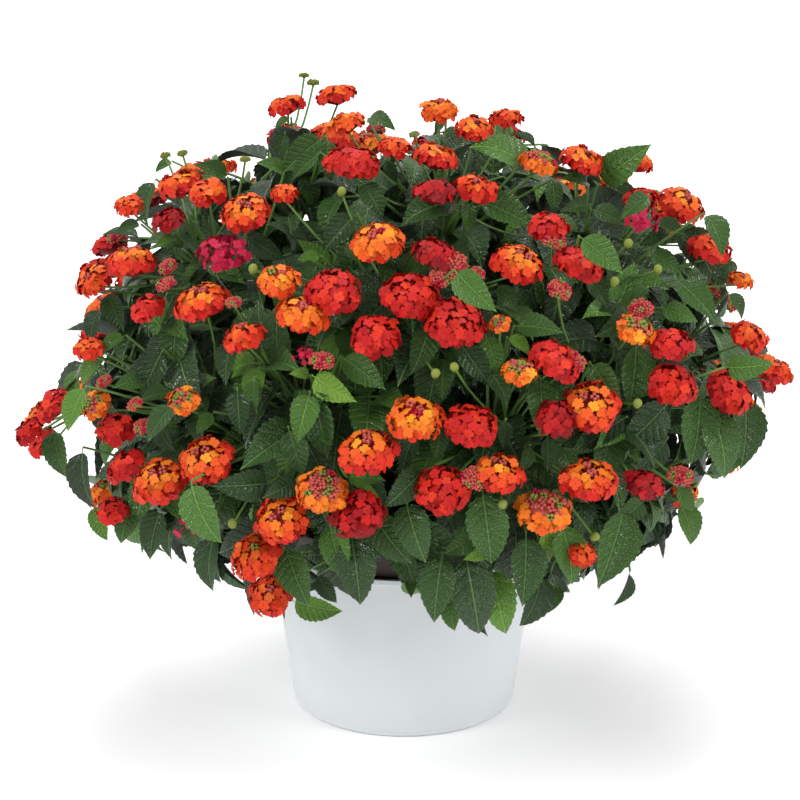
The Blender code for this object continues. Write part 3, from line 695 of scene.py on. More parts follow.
def pattern_group():
    """Splits a piece's pattern map: how far across, up, out from the middle, and which side."""
    names = ("Across", "Up", "Side", "Out", "Cell")
    t, _, made = new_tree("Shader", "pattern_place", {}, {name: "Float" for name in names})
    parts = t.parts(t.put("ShaderNodeUVMap", uv_map="pattern"))
    across = t.math("SUBTRACT", t.math("FRACT", parts[0]), 0.5)
    level = t.xyz(across, t.math("SUBTRACT", parts[1], 0.5))
    out = t.put("ShaderNodeVectorMath", {0: level}, "Value", operation="LENGTH")
    source = {"attribute_name": "cell", "attribute_type": "GEOMETRY"}
    cell = t.put("ShaderNodeAttribute", out="Fac", **source)
    values = (t.math("ABSOLUTE", across), parts[1], t.math("FLOOR", parts[0]), out, cell)
    for name, value in zip(names, values):
        t.feed(value, made[name])
    return t.tree


def leaf_material(pattern):
    """Lantana leaf: thin pale veins, a fine net of wrinkles between them with painted shade
    darkening its creases, a paler underside.
    """
    material, t = new_material("lantana_leaf", Roughness=0.3, Specular_IOR_Level=0.48)
    at = t.group(pattern)
    slant = t.math("SUBTRACT", at["Up"], t.times(at["Across"], 0.42))
    stripe = t.math("PINGPONG", t.times(slant, 10.0), 0.5)
    side_vein = t.band(stripe, 0.0, 0.09, 1.0, 0.0)
    midrib = t.band(at["Across"], 0.006, 0.020, 1.0, 0.0)
    veins = t.math("MAXIMUM", side_vein, midrib)
    inputs = {"Vector": t.xyz(t.times(at["Across"], 0.6), at["Up"]), "Scale": 30.0}
    net = t.put(
        "ShaderNodeTexVoronoi", inputs, "Distance",
        voronoi_dimensions="2D", feature="DISTANCE_TO_EDGE",
    )
    wrinkle = t.band(net, 0.0, 0.22)
    blade = t.tint(at["Cell"], LEAF_COLOURS)
    # Painted shade: the upper side is darkened along the creases of the wrinkle net, where the bump
    # sinks it.
    painted_crease_shade = t.math("SUBTRACT", 0.6, t.times(wrinkle, 0.6))
    upper = t.blend("MULTIPLY", painted_crease_shade, blade, (0.55, 0.60, 0.50))
    pale = t.blend("MIX", 0.22, blade, (0.24, 0.42, 0.12))
    upper = t.blend("MIX", t.math("MAXIMUM", midrib, t.times(side_vein, 0.22)), upper, pale)
    under = t.blend("MIX", 0.60, blade, (0.13, 0.17, 0.14))
    under = t.blend("MIX", t.times(veins, 0.5), under, (0.30, 0.37, 0.25))
    puffed = t.plus(t.times(wrinkle, 0.45), t.times(t.band(stripe, 0.0, 0.30), 0.55))
    puffed = t.times(puffed, t.band(at["Across"], 0.0, 0.04))
    t.shade(
        Base_Color=t.blend("MIX", at["Side"], upper, under),
        Normal=t.bump(puffed, 0.0011),
        Roughness=t.plus(t.mix(at["Side"], 0.29, 0.75), t.times(veins, 0.12)),
    )
    return material


def petal_material(pattern):
    """Petals by tint with an orange eye, painted shade at the throat and towards the lobe edges,
    and a soft matt bloom.
    """
    material, t = new_material("lantana_petal", Roughness=0.6, Specular_IOR_Level=0.2)
    at = t.group(pattern)
    # Painted shade: a dark dot at the throat stands for the shadow down the floret's tube.
    throat = t.times(t.band(at["Out"], 0.050, 0.125, 1.0, 0.0), 0.75)
    halo = t.times(t.band(at["Out"], 0.10, 0.27, 1.0, 0.0), 0.30)
    # Painted shade: the outer part of each lobe is darkened to stand for the shadow between
    # overlapping florets.
    rim = t.times(t.band(at["Out"], 0.32, 0.45), 0.4)
    colour = t.tint(at["Cell"], PETAL_COLOURS)
    colour = t.blend("MIX", halo, colour, (1.0, 0.42, 0.05))
    colour = t.blend("MULTIPLY", throat, colour, (0.55, 0.16, 0.10))
    t.shade(Base_Color=t.blend("MULTIPLY", rim, colour, (0.72, 0.45, 0.45)))
    return material


def stem_material(pattern):
    """Green stems, ridged along their length, and browner where they are old."""
    material, t = new_material("green_stem", Roughness=0.5)
    at = t.group(pattern)
    old = t.times(t.band(at["Cell"], STEM_CELL + 0.2, WOODY_CELL - 0.2), 0.35)
    young = t.blend("MIX", at["Up"], (0.07, 0.15, 0.030), (0.12, 0.25, 0.045))
    colour = t.blend("MIX", old, young, (0.13, 0.24, 0.055))
    ridge = t.math("PINGPONG", t.times(at["Across"], 8.0), 0.5)
    colour = t.blend("MULTIPLY", t.times(ridge, 0.5), colour, (0.6, 0.7, 0.5))
    t.shade(Base_Color=colour, Normal=t.bump(ridge, 0.0003))
    return material


def plastic_material(name, grain, colour, blotch_and_foot_tone, roughness):
    """Moulded plastic: faint blotches, a fine grain, and a second tone towards the foot, over the
    lowest 3 cm.
    """
    material, t = new_material(name, Roughness=roughness)
    masks = t.group(grain, Blotch_scale=14.0, Grain_scale=900.0)
    low = t.band(t.parts(t.place())[2], 0.0, 0.03, 1.0, 0.0)
    base = t.blend("MIX", t.times(masks["Blotches"], 0.3), colour, blotch_and_foot_tone)
    # Towards the foot the colour moves to the second tone: darker on the white pot, paler on the
    # brown one.
    base = t.blend("MIX", t.times(low, 0.45), base, blotch_and_foot_tone)
    shine = t.band(masks["Blotches"], 0.0, 1.0, roughness - 0.05, roughness + 0.08)
    t.shade(Base_Color=base, Normal=t.bump(masks["Grain"], 0.00006), Roughness=shine)
    return material


def mix_material(grain):
    """Damp peat with paler fibres."""
    material, t = new_material("peat_mix", Roughness=0.95)
    masks = t.group(grain, Blotch_scale=300.0, Grain_scale=1500.0)
    colour = t.blend("MIX", masks["Blotches"], (0.018, 0.011, 0.008), (0.075, 0.045, 0.028))
    t.shade(Base_Color=colour, Normal=t.bump(masks["Grain"], 0.0006))
    return material


def bark_material(grain):
    """Grey-brown bark with fine furrows along the wood, and painted shade down in the furrows."""
    material, t = new_material("old_bark", Roughness=0.85)
    masks = t.group(grain, Blotch_scale=120.0, Grain_scale=600.0)
    drawn = t.put("ShaderNodeMapping", {"Vector": t.place(), "Scale": (1.0, 1.0, 0.15)})
    furrow = t.noise(drawn, 700.0, 4.0)
    colour = t.blend("MIX", masks["Blotches"], (0.12, 0.085, 0.055), (0.26, 0.20, 0.14))
    # Painted shade: the bark is darkened where the furrows sink.
    deep = t.band(furrow, 0.4, 0.6, 0.7, 0.0)
    colour = t.blend("MULTIPLY", deep, colour, (0.35, 0.3, 0.25))
    t.shade(Base_Color=colour, Normal=t.bump(furrow, 0.0008))
    return material


# Shapes that are set out many times


def shape_collection(name, meshes):
    """A collection of shapes, picked by their place in the list."""
    shapes = bpy.data.collections.new(name)
    for i, mesh in enumerate(meshes):
        shapes.objects.link(bpy.data.objects.new(f"{name}_{i:02d}", mesh))
    return shapes


def drop_collection(shapes):
    for thing in list(shapes.objects):
        bpy.data.objects.remove(thing)
    bpy.data.collections.remove(shapes)


def closed_mesh(bm, name, smooth=True):
    bmesh.ops.recalc_face_normals(bm, faces=bm.faces)
    for face in bm.faces:
        face.smooth = smooth
    mesh = bpy.data.meshes.new(name)
    bm.to_mesh(mesh)
    bm.free()
    return mesh


def leaf_outline(share):
    """Half the width of a leaf, as a share of its length, from its stalk at 0 to its tip at 1."""
    fullest = LEAF_BASE / (LEAF_BASE + LEAF_TAPER)
    swell, most = (t**LEAF_BASE * (1 - t) ** LEAF_TAPER for t in (share, fullest))
    return 0.5 * LEAF_BREADTH * swell / most + 0.006 * (1 - share)


def leaf_spine(lift, bow, share):
    """A place on a leaf's midrib, and the way its upper side looks there: the rib sets out at the
    angle lift and bends down by bow."""
    steps = 12
    y = z = 0.0
    for k in range(steps):
        pitch = lift - bow * (share * (k + 0.5) / steps) ** 1.3
        y += share / steps * math.cos(pitch)
        z += share / steps * math.sin(pitch)
    pitch = lift - bow * share**1.3
    return Vector((0, y, z)), Vector((0, -math.sin(pitch), math.cos(pitch)))


def leaf_shape(lift, bow, fold, twist, wave, seed):
    """A toothed leaf of unit length that sets out along +Y with its upper side towards +Z."""
    rng = random.Random(seed)
    bm = bmesh.new()
    pattern = bm.loops.layers.uv.new("pattern")
    home = {}
    stalk = 0.09

    def vertex(across, t, up):
        middle, normal = leaf_spine(lift, bow, t)
        roll = twist * t
        side = Vector((math.cos(roll), 0, 0)) + normal * math.sin(roll)
        spot = bm.verts.new(middle + side * across + normal * up)
        home[spot] = (0.5 + 1.6 * across, 0.03 + 0.94 * t)
        return spot

    def face(*corners, under=False):
        made = bm.faces.new(corners)
        for loop in made.loops:
            across, up = home[loop.vert]
            loop[pattern].uv = (across + under, up)

    rows = []
    for k in range(LEAF_ROWS):
        share = k / LEAF_ROWS
        t = stalk + (1 - stalk) * share
        half = leaf_outline(share)
        puff = 0.003 * (k % 2) * min(1, half * 6)
        row = {"mid": vertex(0, t, 0), "below": vertex(0, t, -0.011)}
        for side in (-1, 1):
            ripple = wave * math.sin(9.5 * share + 1.7 * side) * half * 2
            rise = fold * half + ripple
            row[side, "rim"] = vertex(side * half, t, rise)
            if k:
                row[side, "inner"] = vertex(side * half * 0.52, t, rise * 0.55 + puff + 0.004)
            notch = share + 0.26 / LEAF_ROWS
            deep = leaf_outline(notch) * (0.89 + 0.04 * rng.random())
            at = stalk + (1 - stalk) * notch
            row[side, "notch"] = vertex(side * deep, at, fold * deep + ripple)
        rows.append(row)
    tip = vertex(0, 1.0, 0)
    foot = {"mid": vertex(0, 0, 0.012), "below": vertex(0, 0, -0.012)}
    for side in (-1, 1):
        foot[side, "rim"] = vertex(side * 0.014, 0, 0)

    for here, there in zip(rows, rows[1:] + [None]):
        for side in (-1, 1):
            rim, notch = here[side, "rim"], here[side, "notch"]
            inner = here.get((side, "inner"))
            if there is None:
                face(here["mid"], inner, tip)
                face(inner, rim, notch, tip)
                face(here["below"], tip, notch, rim, under=True)
                continue
            beyond, beyond_rim = there[side, "inner"], there[side, "rim"]
            if inner:
                face(here["mid"], inner, beyond, there["mid"])
                face(inner, rim, notch, beyond_rim, beyond)
            else:
                face(here["mid"], beyond, there["mid"])
                face(here["mid"], rim, notch, beyond_rim, beyond)
            face(here["below"], there["below"], beyond_rim, notch, rim, under=True)
    for side in (-1, 1):
        face(foot["mid"], foot[side, "rim"], rows[0][side, "rim"], rows[0]["mid"])
        face(foot["below"], rows[0]["below"], rows[0][side, "rim"], foot[side, "rim"], under=True)
    face(foot["mid"], foot[1, "rim"], foot["below"], foot[-1, "rim"], under=True)
    bmesh.ops.recalc_face_normals(bm, faces=bm.faces)
    for edge in bm.edges:
        sides = {loop.face.loops[0][pattern].uv.x >= 1 for loop in edge.link_loops}
        edge.smooth = len(sides) == 1
    return closed_mesh(bm, "leaf")


def flat_map(bm, radius):
    """A pattern map looking straight down, with the middle of the shape at its middle."""
    pattern = bm.loops.layers.uv.verify()
    for face in bm.faces:
        for loop in face.loops:
            spot = loop.vert.co
            out = max(math.hypot(spot.x, spot.y), 0.05 * radius)
            angle = math.atan2(spot.y, spot.x)
            far = min(out / radius + max(0.0, -spot.z / radius) * 0.02, 1.05) * 0.45
            loop[pattern].uv = (0.5 + far * math.cos(angle), 0.5 + far * math.sin(angle))


def rings(bm, levels, sides, centre=(0.0, 0.0)):
    """Closes a stack of (radius, height) rings, run from a bottom cap to a point on top."""
    stack = []
    for radius, height in levels[:-1]:
        stack.append([
            bm.verts.new((
                centre[0] + radius * math.cos(2 * math.pi * i / sides),
                centre[1] + radius * math.sin(2 * math.pi * i / sides), height,
            ))
            for i in range(sides)
        ])
    tip = bm.verts.new((*centre, levels[-1][1]))
    for low, high in zip(stack, stack[1:]):
        for i in range(sides):
            j = (i + 1) % sides
            bm.faces.new((low[i], low[j], high[j], high[i]))
    for i in range(sides):
        bm.faces.new((stack[-1][i], stack[-1][(i + 1) % sides], tip))
    bm.faces.new(stack[0][::-1])


def floret_shape(lobes, tube, cup):
    """An open floret facing +Z: rounded lobes round a throat, on a slender tube."""
    bm = bmesh.new()
    step = 2 * math.pi / lobes

    def spot(turn, radius, height):
        angle = turn * step
        return bm.verts.new((radius * math.cos(angle), radius * math.sin(angle), height))

    throat = bm.verts.new((0, 0, -0.0006))
    inner, notch, first, crest, last, neck, foot = (
        [spot(i + turn, radius, height) for i in range(lobes)]
        for turn, radius, height in (
            (0, 0.0011, 0.0), (0, 0.64 * FLORET_R, 0.0002), (0.18, 0.93 * FLORET_R, cup),
            (0.5, FLORET_R, -cup), (0.82, 0.93 * FLORET_R, cup), (0, 0.0006, -0.0011),
            (0, 0.00045, -tube),
        )
    )
    for i in range(lobes):
        j = (i + 1) % lobes
        bm.faces.new((throat, inner[i], inner[j]))
        bm.faces.new((inner[i], notch[i], first[i], crest[i], last[i], notch[j], inner[j]))
        bm.faces.new((notch[j], last[i], crest[i], first[i], notch[i], neck[i], neck[j]))
        bm.faces.new((neck[j], neck[i], foot[i], foot[j]))
    bm.faces.new(foot[::-1])
    flat_map(bm, FLORET_R)
    return closed_mesh(bm, "floret", smooth=False)


def bud_shape(tube):
    """Four closed buds with square shoulders, side by side on one tube and facing +Z."""
    bm = bmesh.new()
    for k in range(4):
        angle = math.pi * (0.25 + 0.5 * k)
        spot = (BUD_GAP * math.cos(angle), BUD_GAP * math.sin(angle))
        rise = 0.0003 * (k % 2)
        levels = [
            (0.0006, -0.0040), (0.0016, rise - 0.0006), (0.0015, rise + 0.0009),
            (0, rise + 0.0016),
        ]
        rings(bm, levels, 4, spot)
    rings(bm, [(0.0005, -tube), (0.0014, -0.0032), (0, -0.0024)], 4)
    flat_map(bm, FLORET_R)
    return closed_mesh(bm, "bud", smooth=False)


def solid_of_rings(name, levels, sides, map_radius, cell):
    """A small closed shape in one cell's colour: the heart of a head, or a berry."""
    bm = bmesh.new()
    rings(bm, levels, sides)
    flat_map(bm, map_radius)
    mesh = closed_mesh(bm, name)
    store_value(mesh, "cell", [float(cell)] * len(mesh.vertices))
    return mesh


def store_value(mesh, name, values, data_type="FLOAT"):
    layer = mesh.attributes.new(name, data_type, "POINT")
    layer.data.foreach_set("value", values)


def crumb_shape(seed):
    rng = random.Random(seed)
    bm = bmesh.new()
    bmesh.ops.create_icosphere(bm, subdivisions=1, radius=CRUMB_R)
    for spot in bm.verts:
        spot.co *= rng.uniform(0.6, 1.25)
        spot.co.z *= 0.6
    return closed_mesh(bm, "crumb", smooth=False)


# Where things grow: the same lines as the solids


def dome_size(way):
    """Half the dome's width and depth, and its rise or drop on the side that way points to."""
    return CANOPY_X, CANOPY_Y, CANOPY_RISE if way.z > 0 else CANOPY_DROP


def dome_point(direction, share=1.0):
    d = direction.normalized()
    return CANOPY_CENTRE + share * Vector([x * size for x, size in zip(d, dome_size(d))])


def dome_share(point):
    """How far out a point is: 1 on the dome's surface, 0 at its centre."""
    d = point - CANOPY_CENTRE
    return Vector([x / size for x, size in zip(d, dome_size(d))]).length


def dome_normal(point):
    d = point - CANOPY_CENTRE
    return Vector([x / size**2 for x, size in zip(d, dome_size(d))]).normalized()


def way_out(angle, height):
    """The direction at an angle round +Z that rises to a height on the unit sphere."""
    level = math.sqrt(1 - height * height)
    return Vector((math.cos(angle) * level, math.sin(angle) * level, height))


def compass(azimuth, height):
    """The direction at an azimuth round +Z from the front and a height angle, in degrees."""
    a, h = math.radians(azimuth), math.radians(height)
    return Vector((math.sin(a) * math.cos(h), -math.cos(a) * math.cos(h), math.sin(h)))


def on_sight_line(across, down, y):
    """The point that far back on the sight line through a place in the picture."""
    ray = Vector(((across - VIEW_MIDDLE) / VIEW_FOCAL, 1, (VIEW_MIDDLE - down) / VIEW_FOCAL))
    ray.rotate(Matrix.Rotation(-VIEW_PITCH, 3, "X"))
    return VIEWPOINT + ray * ((y - VIEWPOINT.y) / ray.y)


def sight_point(across, down, depth=1.0):
    """Where the sight line through a place in the picture meets the dome, or passes nearest it.
    Depth is the share of the dome that it has to reach."""
    best = None
    for i in range(SIGHT_STEPS):
        y = SIGHT_NEAR + (SIGHT_FAR - SIGHT_NEAR) * i / SIGHT_STEPS
        point = on_sight_line(across, down, y)
        share = dome_share(point)
        if best is None or share < best[0]:
            best = (share, point)
        if share <= depth:
            break
    return best[1]


def picture_place(point):
    """Where a point shows in the picture: across and down."""
    ray = point - VIEWPOINT
    ray.rotate(Matrix.Rotation(VIEW_PITCH, 3, "X"))
    return VIEW_MIDDLE + VIEW_FOCAL * ray.x / ray.y, VIEW_MIDDLE - VIEW_FOCAL * ray.z / ray.y


def in_outline(point):
    """Whether a point shows inside the outline of the leaves: it crosses the outline an odd number
    of times on its way out."""
    x, y = picture_place(point)
    inside = False
    for (x1, y1), (x2, y2) in zip(FRONT_OUTLINE, FRONT_OUTLINE[1:] + FRONT_OUTLINE[:1]):
        if (y1 > y) != (y2 > y) and x < x1 + (x2 - x1) * (y - y1) / (y2 - y1):
            inside = not inside
    return inside


def back_heads(taken):
    """Heads for the sides and back, spread by the golden angle and clear of those at the front."""
    rng = random.Random(BACK_SEED)
    heads = []
    for i in range(BACK_HEADS):
        height = BACK_TOP - BACK_SPAN * (i + 0.5) / BACK_HEADS + rng.uniform(-0.03, 0.03)
        angle = i * GOLDEN_ANGLE + rng.uniform(-0.4, 0.4)
        point = dome_point(way_out(angle, height))
        kind = rng.choice(BACK_KINDS)
        radius = rng.uniform(*(BACK_BUD_R if kind == "buds" else BACK_HEAD_R))
        rim = dome_normal(point) * radius * BACK_RIM
        while not in_outline(point + rim) and dome_share(point) > BACK_DEEPEST:
            point = CANOPY_CENTRE + (point - CANOPY_CENTRE) * HEAD_SHRINK
        seen_from_front = dome_normal(point).dot((VIEWPOINT - point).normalized()) > 0.05
        crowded = any(
            (point - other).length < radius + r + HEAD_GAP for other, r, _ in taken + heads
        )
        if not seen_from_front and not crowded and in_outline(point + rim):
            heads.append((point, radius, kind))
    return heads


def branch_ends():
    """(limb number, direction) for each branch: limb 0 is the top one, the others go round."""
    ends = [(0, compass(a, h)) for a, h in TOP_ENDS]
    for limb in range(SIDE_LIMBS):
        middle = 360 * limb / SIDE_LIMBS
        ends += [(limb + 1, compass(middle + a, h)) for a, h in SECTOR_ENDS]
    return ends


def fork_point(limb):
    if limb == 0:
        return Vector((0, 0, TOP_LIMB_Z))
    out = compass(360 * (limb - 1) / SIDE_LIMBS + LIMB_TURN, 0)
    return out * SIDE_LIMB_REACH + Vector((0, 0, SIDE_LIMB_Z + LIMB_WAVE * (limb % 2)))


def fork_directions(limb, ends):
    """Directions in which the branches leave a fork, spread apart but each towards its own end."""
    fork = fork_point(limb)
    wanted = [(dome_point(d, BRANCH_SHARE) - fork).normalized() for d in ends]
    for _ in range(FORK_PUSHES):
        pushed = []
        for i, d in enumerate(wanted):
            away = Vector((0, 0, 0))
            for j, other in enumerate(wanted):
                if i != j and d.angle(other) < FORK_ANGLE:
                    away += (d - other).normalized() * FORK_PUSH
            pushed.append((d + away).normalized())
        wanted = pushed
    return wanted


def bend(start, lean, end, steps):
    """Points of a smooth bend from start to end that sets out towards lean."""
    points = []
    for i in range(steps + 1):
        t = i / steps
        points.append((1 - t) ** 2 * start + 2 * t * (1 - t) * lean + t * t * end)
    return points


def branch_axes():
    """For each branch, the points of its axis from the fork to its flowering end."""
    ends = branch_ends()
    axes = []
    for limb in range(SIDE_LIMBS + 1):
        own = [d for k, d in ends if k == limb]
        fork = fork_point(limb)
        for direction, leave in zip(own, fork_directions(limb, own)):
            start = fork + leave * FORK_R * 0.8
            end = dome_point(direction, BRANCH_SHARE)
            lean = start + leave * (end - start).length * 0.45
            axes.append(bend(start, lean, end, 5))
    return axes


def nearest_axis(point, axes):
    return min(range(len(axes)), key=lambda k: (point - axes[k][-1]).length)


# Leaves


def any_way(rng):
    return Vector([rng.uniform(-1, 1) for _ in range(3)])


def frame_matrix(along, facing):
    """The turn that carries +Y to along and +Z as near as it can to facing."""
    y = along.normalized()
    x = y.cross(facing).normalized()
    return Matrix((x, y, x.cross(y))).transposed()


def stem_turn(points, at):
    """A place at a share of the way along a stem, and the way the stem runs there."""
    reach = at * (len(points) - 1)
    k = min(int(reach), len(points) - 2)
    return points[k].lerp(points[k + 1], reach - k), (points[k + 1] - points[k]).normalized()


def clears_pots(point):
    """Whether a point keeps off the walls and lips of the two pots."""
    radius = math.hypot(point.x, point.y)
    walls = INNER_RIM_R - POT_CLEARANCE < radius < POT_RIM_R + POT_LIP + POT_CLEARANCE
    return point.z > INNER_RIM_Z + POT_CLEARANCE or not walls


def leaf_pair(spot, stem, length, turned, rng, tint):
    """Two opposite leaves that spread from a stem, droop and face outwards."""
    out = dome_normal(spot)
    level = stem.cross(out)
    if level.length < 0.2:
        level = stem.cross(Vector((0, 0, 1)))
    level = Matrix.Rotation(turned, 3, stem) @ level.normalized()
    leaves = []
    for side in (-1, 1):
        spread = side * level + stem * rng.uniform(0.35, 0.8) + out * rng.uniform(0.0, 0.35)
        along = (spread + Vector((0, 0, -rng.uniform(0.3, 1.2)))).normalized()
        facing = out + Vector((0, 0, 0.45)) + 0.35 * any_way(rng)
        turn = frame_matrix(along, facing).to_quaternion()
        form = rng.randrange(LEAF_FORMS)
        shade = min(max(round(tint + rng.uniform(-1.1, 1.1)), 0), LEAF_TINTS - 1)
        size = length * rng.uniform(0.85, 1.15)
        checked = [spot + along * size * share for share in LEAF_CHECKS]
        if all(in_outline(point) and clears_pots(point) for point in checked):
            leaves.append(Spot(spot, turn, size, form, shade))
    return leaves


def set_leaf(stalk_end, tip, form, shade, sway):
    """A leaf laid from its stalk end to its tip, its upper side turned out, forward and up."""
    run = tip - stalk_end
    own = leaf_spine(*LEAF_SHAPES[form][:2], 1.0)[0]
    facing = 0.6 * dome_normal(stalk_end) + Vector((0, -FRONT_LEAF_TURN, FRONT_LEAF_LIFT)) + sway
    turn = frame_matrix(run, facing) @ Matrix.Rotation(-math.atan2(own.z, own.y), 3, "X")
    return Spot(stalk_end, turn.to_quaternion(), run.length / own.length, form, shade)


def front_leaves(axes):
    """For each branch, the front leaves nearest it and the stems that carry them."""
    grown_on = [([], []) for _ in axes]
    rng = random.Random(FRONT_LEAF_SEED)
    for leaves, depth in ((FRONT_LEAVES, FRONT_LEAF_DEPTH), (OVER_LEAVES, OVER_LEAF_DEPTH)):
        for x0, y0, x1, y1, shade in leaves:
            stalk_end = sight_point(x0, y0, depth)
            tip = on_sight_line(x1, y1, stalk_end.y - rng.uniform(*LEAF_FORWARD))
            k = nearest_axis(stalk_end, axes)
            start = axes[k][-2]
            lean = start.lerp(stalk_end, 0.6) - 0.15 * (tip - stalk_end)
            grown_on[k][0].append(Stem(bend(start, lean, stalk_end, 3), SHOOT_R, STEM_CELL))
            sway = LEAF_SWAY * any_way(rng)
            form = rng.choice(FRONT_LEAF_FORMS)
            grown_on[k][1].append(set_leaf(stalk_end, tip, form, shade, sway))
    return grown_on


def shoot_ends():
    """Where leafy shoots end: spread by the golden angle, in an outer layer and an inner one."""
    rng = random.Random(SHOOT_SEED)
    ends = []
    for count, (high, low), shares in (
        (SHOOTS, SHOOT_HEIGHTS, SHOOT_SHARES), (INNER_SHOOTS, INNER_HEIGHTS, INNER_SHARES),
    ):
        for i in range(count):
            height = high + (low - high) * (i + 0.5) / count
            ends.append(dome_point(way_out(i * GOLDEN_ANGLE, height), rng.uniform(*shares)))
    return ends


def leafy_shoot(axis, end, rng):
    """A side shoot from a branch to its end near the dome's surface, with its pairs of leaves."""
    nearest = min(axis[1:], key=lambda p: (p - end).length)
    start = axis[-1].lerp(nearest, 0.6) if nearest is axis[-1] else nearest
    start = axis[-2].lerp(start, rng.uniform(0.2, 1.0))
    lift = Vector((0, 0, 0.25 * (end - start).length))
    points = bend(start, start.lerp(end, 0.5) + lift, end, 4)
    tint = 2.0 + rng.uniform(-1.0, 1.2)
    turned = rng.uniform(0, math.pi)
    leaves = []
    for k, (at, length) in enumerate(zip(LEAF_STEPS, LEAF_LENGTHS)):
        spot, stem = stem_turn(points, at)
        fresh = 1.8 if k == 0 else -0.35 * k
        leaves += leaf_pair(spot, stem, length, turned + k * math.pi / 2, rng, tint + fresh)
    return Stem(points, SHOOT_R, STEM_CELL), leaves


# Flower heads


def head_form(kind, radius):
    """Which bloom shape shows this kind at about this radius, and that shape's own radius."""
    if kind == "berry":
        return len(HEAD_KINDS) * len(HEAD_SIZES), 1.0
    sizes = list(HEAD_SIZES.values())
    nearest = min(range(len(sizes)), key=lambda k: abs(sizes[k][0] - radius))
    return list(HEAD_KINDS).index(kind) * len(sizes) + nearest, sizes[nearest][0]


def share_heads(axes, heads):
    """Gives each head to the branch whose end is nearest, or a spare head to an empty branch."""
    claims = [[] for _ in axes]
    for head in heads:
        k = nearest_axis(head[0], axes)
        if (head[0] - axes[k][-1]).length < SPRAY_REACH:
            claims[k].append(head)
    for claim, axis in zip(claims, axes):
        if not claim:
            claim.append((dome_point(axis[-1] - CANOPY_CENTRE, 0.97), SPARE_HEAD_R, "flame"))
    return claims


def spray_plan(axis, heads, rng):
    """The stalks of a spray and the heads on them."""
    outward = (axis[-1] - axis[-2]).normalized()
    stems, spots = [], []
    for i, (point, radius, kind) in enumerate(heads):
        facing = (dome_normal(point) + Vector((0, 0, HEAD_LIFT))).normalized()
        facing = (facing + 0.25 * any_way(rng)).normalized()
        centre = point - facing * radius * HEAD_SINK
        start = axis[-1] + outward * STUB_LENGTH * (i + 1) / len(heads)
        lean = start.lerp(centre, STALK_LEAN) - STALK_SINK * dome_normal(centre)
        foot = centre - facing * radius * HEAD_SINK
        stems.append(Stem(bend(start, lean, foot, 3), STALK_R, STALK_CELL))
        form, own_radius = head_form(kind, radius)
        turn = facing.to_track_quat("Z", "Y")
        turn.rotate(Matrix.Rotation(rng.uniform(0, FULL_TURN), 3, facing))
        spots.append(Spot(centre, turn, radius / own_radius, form, 0))
    stub = Stem([axis[-1], axis[-1] + outward * STUB_LENGTH], (0.0018, 0.0014), STALK_CELL)
    return [stub] + stems, spots


# Pieces


def plan_mesh(name, stems, spots):
    """Stems as chains of edges and shapes as loose points, with what the tree reads from each."""
    places, edges, radii, cells = [], [], [], []
    for stem in stems:
        first, count = len(places), len(stem.points)
        places += stem.points
        edges += [(first + i, first + i + 1) for i in range(count - 1)]
        thick, thin = stem.radii
        radii += [thick + (thin - thick) * i / (count - 1) for i in range(count)]
        cells += [stem.cell] * count
    stem_points = len(places)
    mesh = bpy.data.meshes.new(name)
    mesh.from_pydata(places + [s.place for s in spots], edges, [])
    store_value(mesh, "radius", radii + [0.0] * len(spots))
    store_value(mesh, "cell", [float(c) for c in cells] + [float(s.cell) for s in spots])
    store_value(mesh, "is_shape", [False] * stem_points + [True] * len(spots), "BOOLEAN")
    store_value(mesh, "form", [0] * stem_points + [s.form for s in spots], "INT")
    store_value(mesh, "size", [1.0] * stem_points + [s.size for s in spots])
    turns = [1.0, 0.0, 0.0, 0.0] * stem_points + [x for s in spots for x in s.turn]
    store_value(mesh, "turn", turns, "QUATERNION")
    return mesh


def add_piece(name, mesh, node, keep=("pattern", "OFBake", "cell")):
    """Links a finished mesh as a piece that stands for a node of the frame."""
    wanted = {"position", "sharp_edge", "sharp_face", "material_index", *keep}
    for label in [a.name for a in mesh.attributes]:
        if label not in wanted and not label.startswith("."):
            mesh.attributes.remove(mesh.attributes[label])
    piece = linked(name, mesh)
    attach(piece, "root")
    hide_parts(node)


def lathe(name, profile, sides=POT_SIDES):
    """Turns a closed (radius, height) profile, run down its outer side, round the Z axis."""
    mesh = bpy.data.meshes.new(name)
    edges = [(i, i + 1) for i in range(len(profile) - 1)]
    mesh.from_pydata([(r, 0, z) for r, z in profile], edges, [])
    thing = linked(name, mesh)
    screw = thing.modifiers.new("Turn", "SCREW")
    screw.steps = screw.render_steps = sides
    screw.use_merge_vertices = True
    screw.merge_threshold = 0.00002
    result = plain_mesh(thing)
    bm = bmesh.new()
    bm.from_mesh(result)
    bmesh.ops.remove_doubles(bm, verts=bm.verts, dist=0.00001)
    bmesh.ops.recalc_face_normals(bm, faces=bm.faces)
    for edge in bm.edges:
        edge.smooth = len(edge.link_faces) == 2 and edge.calc_face_angle() < math.radians(40)
    for face in bm.faces:
        face.smooth = True
    bm.to_mesh(result)
    bm.free()
    return result


def rounded(profile, radius, steps=3):
    """The profile with each corner between its ends rounded off."""
    points = [Vector(p) for p in profile]
    out = [points[0]]
    for before, corner, after in zip(points, points[1:], points[2:]):
        reach = min(radius, (before - corner).length / 2, (after - corner).length / 2)
        start = corner + (before - corner).normalized() * reach
        end = corner + (after - corner).normalized() * reach
        out += bend(start, corner, end, steps)
    return [tuple(p) for p in out + [points[-1]]]


def add_pot(name, profile, corner, material, node):
    mesh = lathe(name, rounded(profile, corner))
    mesh.materials.append(material)
    add_piece(name, mesh, node)


